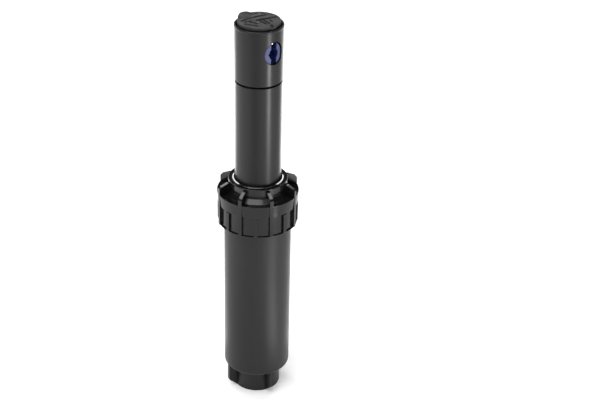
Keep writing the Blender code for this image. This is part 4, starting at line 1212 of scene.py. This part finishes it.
class SPRINKLER_OT_stage(Operator):
    """Sets the floor, the room light, the lamps and the camera"""

    bl_idname = "sprinkler.stage"
    bl_label = "Stage"

    def execute(self, context):
        stage = context.scene.sprinkler_stage
        self.lay_floor(stage)
        self.light_room(context.scene, stage)
        self.set_lamps(stage)
        self.set_camera(context.scene, stage)
        context.scene.view_settings.view_transform = "Standard"
        return {"FINISHED"}

    def lay_floor(self, stage):
        leave_edit_mode()
        bpy.ops.mesh.primitive_plane_add(size=FLOOR_SIZE)
        floor = named("studio_floor")
        material, shader, spot = new_finish("pale_floor")
        mottle = noise(spot, scale=30.0, detail=2.0)
        tone = stage.floor_colour
        feed(shader, "Base Color", tinted(spot, mottle, scaled(tone, 0.99), scaled(tone, 1.01)))
        shader.inputs["Roughness"].default_value = 0.9
        shader.inputs["Specular IOR Level"].default_value = 0.0
        far = ramp(off_axis(spot), FLOOR_NEAR, FLOOR_FAR)
        lift = stage.near_lift + (stage.far_lift - stage.near_lift) * far
        seen = seen_directly(spot) * lift
        white = spot.node("ShaderNodeCombineColor", {}, {0: seen, 1: seen, 2: seen})
        feed(shader, "Emission Color", white)
        shader.inputs["Emission Strength"].default_value = 1.0
        floor.data.materials.append(material)

    def light_room(self, scene, stage):
        room = bpy.data.worlds.new("studio_room")
        room.use_nodes = True
        scene.world = room
        background = room.node_tree.nodes["Background"]
        background.inputs["Color"].default_value = (1.0, 1.0, 1.0, 1.0)
        background.inputs["Strength"].default_value = stage.room_light

    def set_lamps(self, stage):
        for name, side, distance, size, power in FLOOR_PANELS:
            heading = stage.heading + math.radians(side)
            place = around(heading, distance, PANEL_HEIGHT)
            lamp = soft_lamp(name, place, size, getattr(stage, power))
            lamp.rotation_euler = (math.pi, 0.0, heading - math.pi / 2)
        for name, side, distance, height, size, lean, power in SOFT_LAMPS:
            place = around(stage.heading + math.radians(side), distance, height)
            lamp = soft_lamp(name, place, size, getattr(stage, power))
            lamp.rotation_euler = looking(place, LAMP_AIM, math.radians(lean))

    def set_camera(self, scene, stage):
        flat = stage.distance * math.cos(stage.pitch)
        height = stage.aim_height + stage.distance * math.sin(stage.pitch)
        place = around(stage.heading, flat, height)
        leave_edit_mode()
        bpy.ops.object.camera_add(location=place)
        camera = bpy.context.object
        camera.name = "photo_camera"
        camera.rotation_euler = looking(place, (0.0, 0.0, stage.aim_height), stage.roll)
        camera.data.lens = stage.lens
        camera.data.sensor_width = SENSOR_WIDTH
        camera.data.shift_x = stage.aside / IMAGE_WIDTH
        scene.camera = camera


class SPRINKLER_PT_pieces(Panel):
    """Lists the sprinkler's pieces and their settings"""

    bl_idname = "SPRINKLER_PT_pieces"
    bl_label = "Pop up sprinkler"
    bl_space_type = "VIEW_3D"
    bl_region_type = "UI"
    bl_category = "Sprinkler"

    def draw(self, context):
        for maker in OPERATORS:
            self.layout.operator(maker.bl_idname)
        for name in GROUPS:
            group = getattr(context.scene, name)
            for key in group.__annotations__:
                self.layout.prop(group, key)


OPERATORS = (
    SPRINKLER_OT_body,
    SPRINKLER_OT_cap,
    SPRINKLER_OT_seal,
    SPRINKLER_OT_riser,
    SPRINKLER_OT_turret,
    SPRINKLER_OT_nozzle,
    SPRINKLER_OT_cover,
    SPRINKLER_OT_radius_screw,
    SPRINKLER_OT_inside,
    SPRINKLER_OT_stage,
)
GROUPS = {
    "sprinkler_sizes": SprinklerSizes,
    "sprinkler_finishes": SprinklerFinishes,
    "sprinkler_stage": SprinklerStage,
}


def register():
    """Registers the groups, the operators and the panel."""
    for name, group in GROUPS.items():
        bpy.utils.register_class(group)
        setattr(bpy.types.Scene, name, PointerProperty(type=group))
    for item in OPERATORS + (SPRINKLER_PT_pieces,):
        bpy.utils.register_class(item)


def unregister():
    """Takes back what register added."""
    for item in reversed(OPERATORS + (SPRINKLER_PT_pieces,)):
        bpy.utils.unregister_class(item)
    for name, group in GROUPS.items():
        delattr(bpy.types.Scene, name)
        bpy.utils.unregister_class(group)


def main():
    """Builds every piece and the stage."""
    register()
    bpy.ops.sprinkler.body()
    bpy.ops.sprinkler.cap()
    bpy.ops.sprinkler.seal()
    bpy.ops.sprinkler.riser()
    bpy.ops.sprinkler.turret()
    bpy.ops.sprinkler.nozzle()
    bpy.ops.sprinkler.cover()
    bpy.ops.sprinkler.radius_screw()
    bpy.ops.sprinkler.inside()
    bpy.ops.sprinkler.stage()


if __name__ == "__main__":
    main()
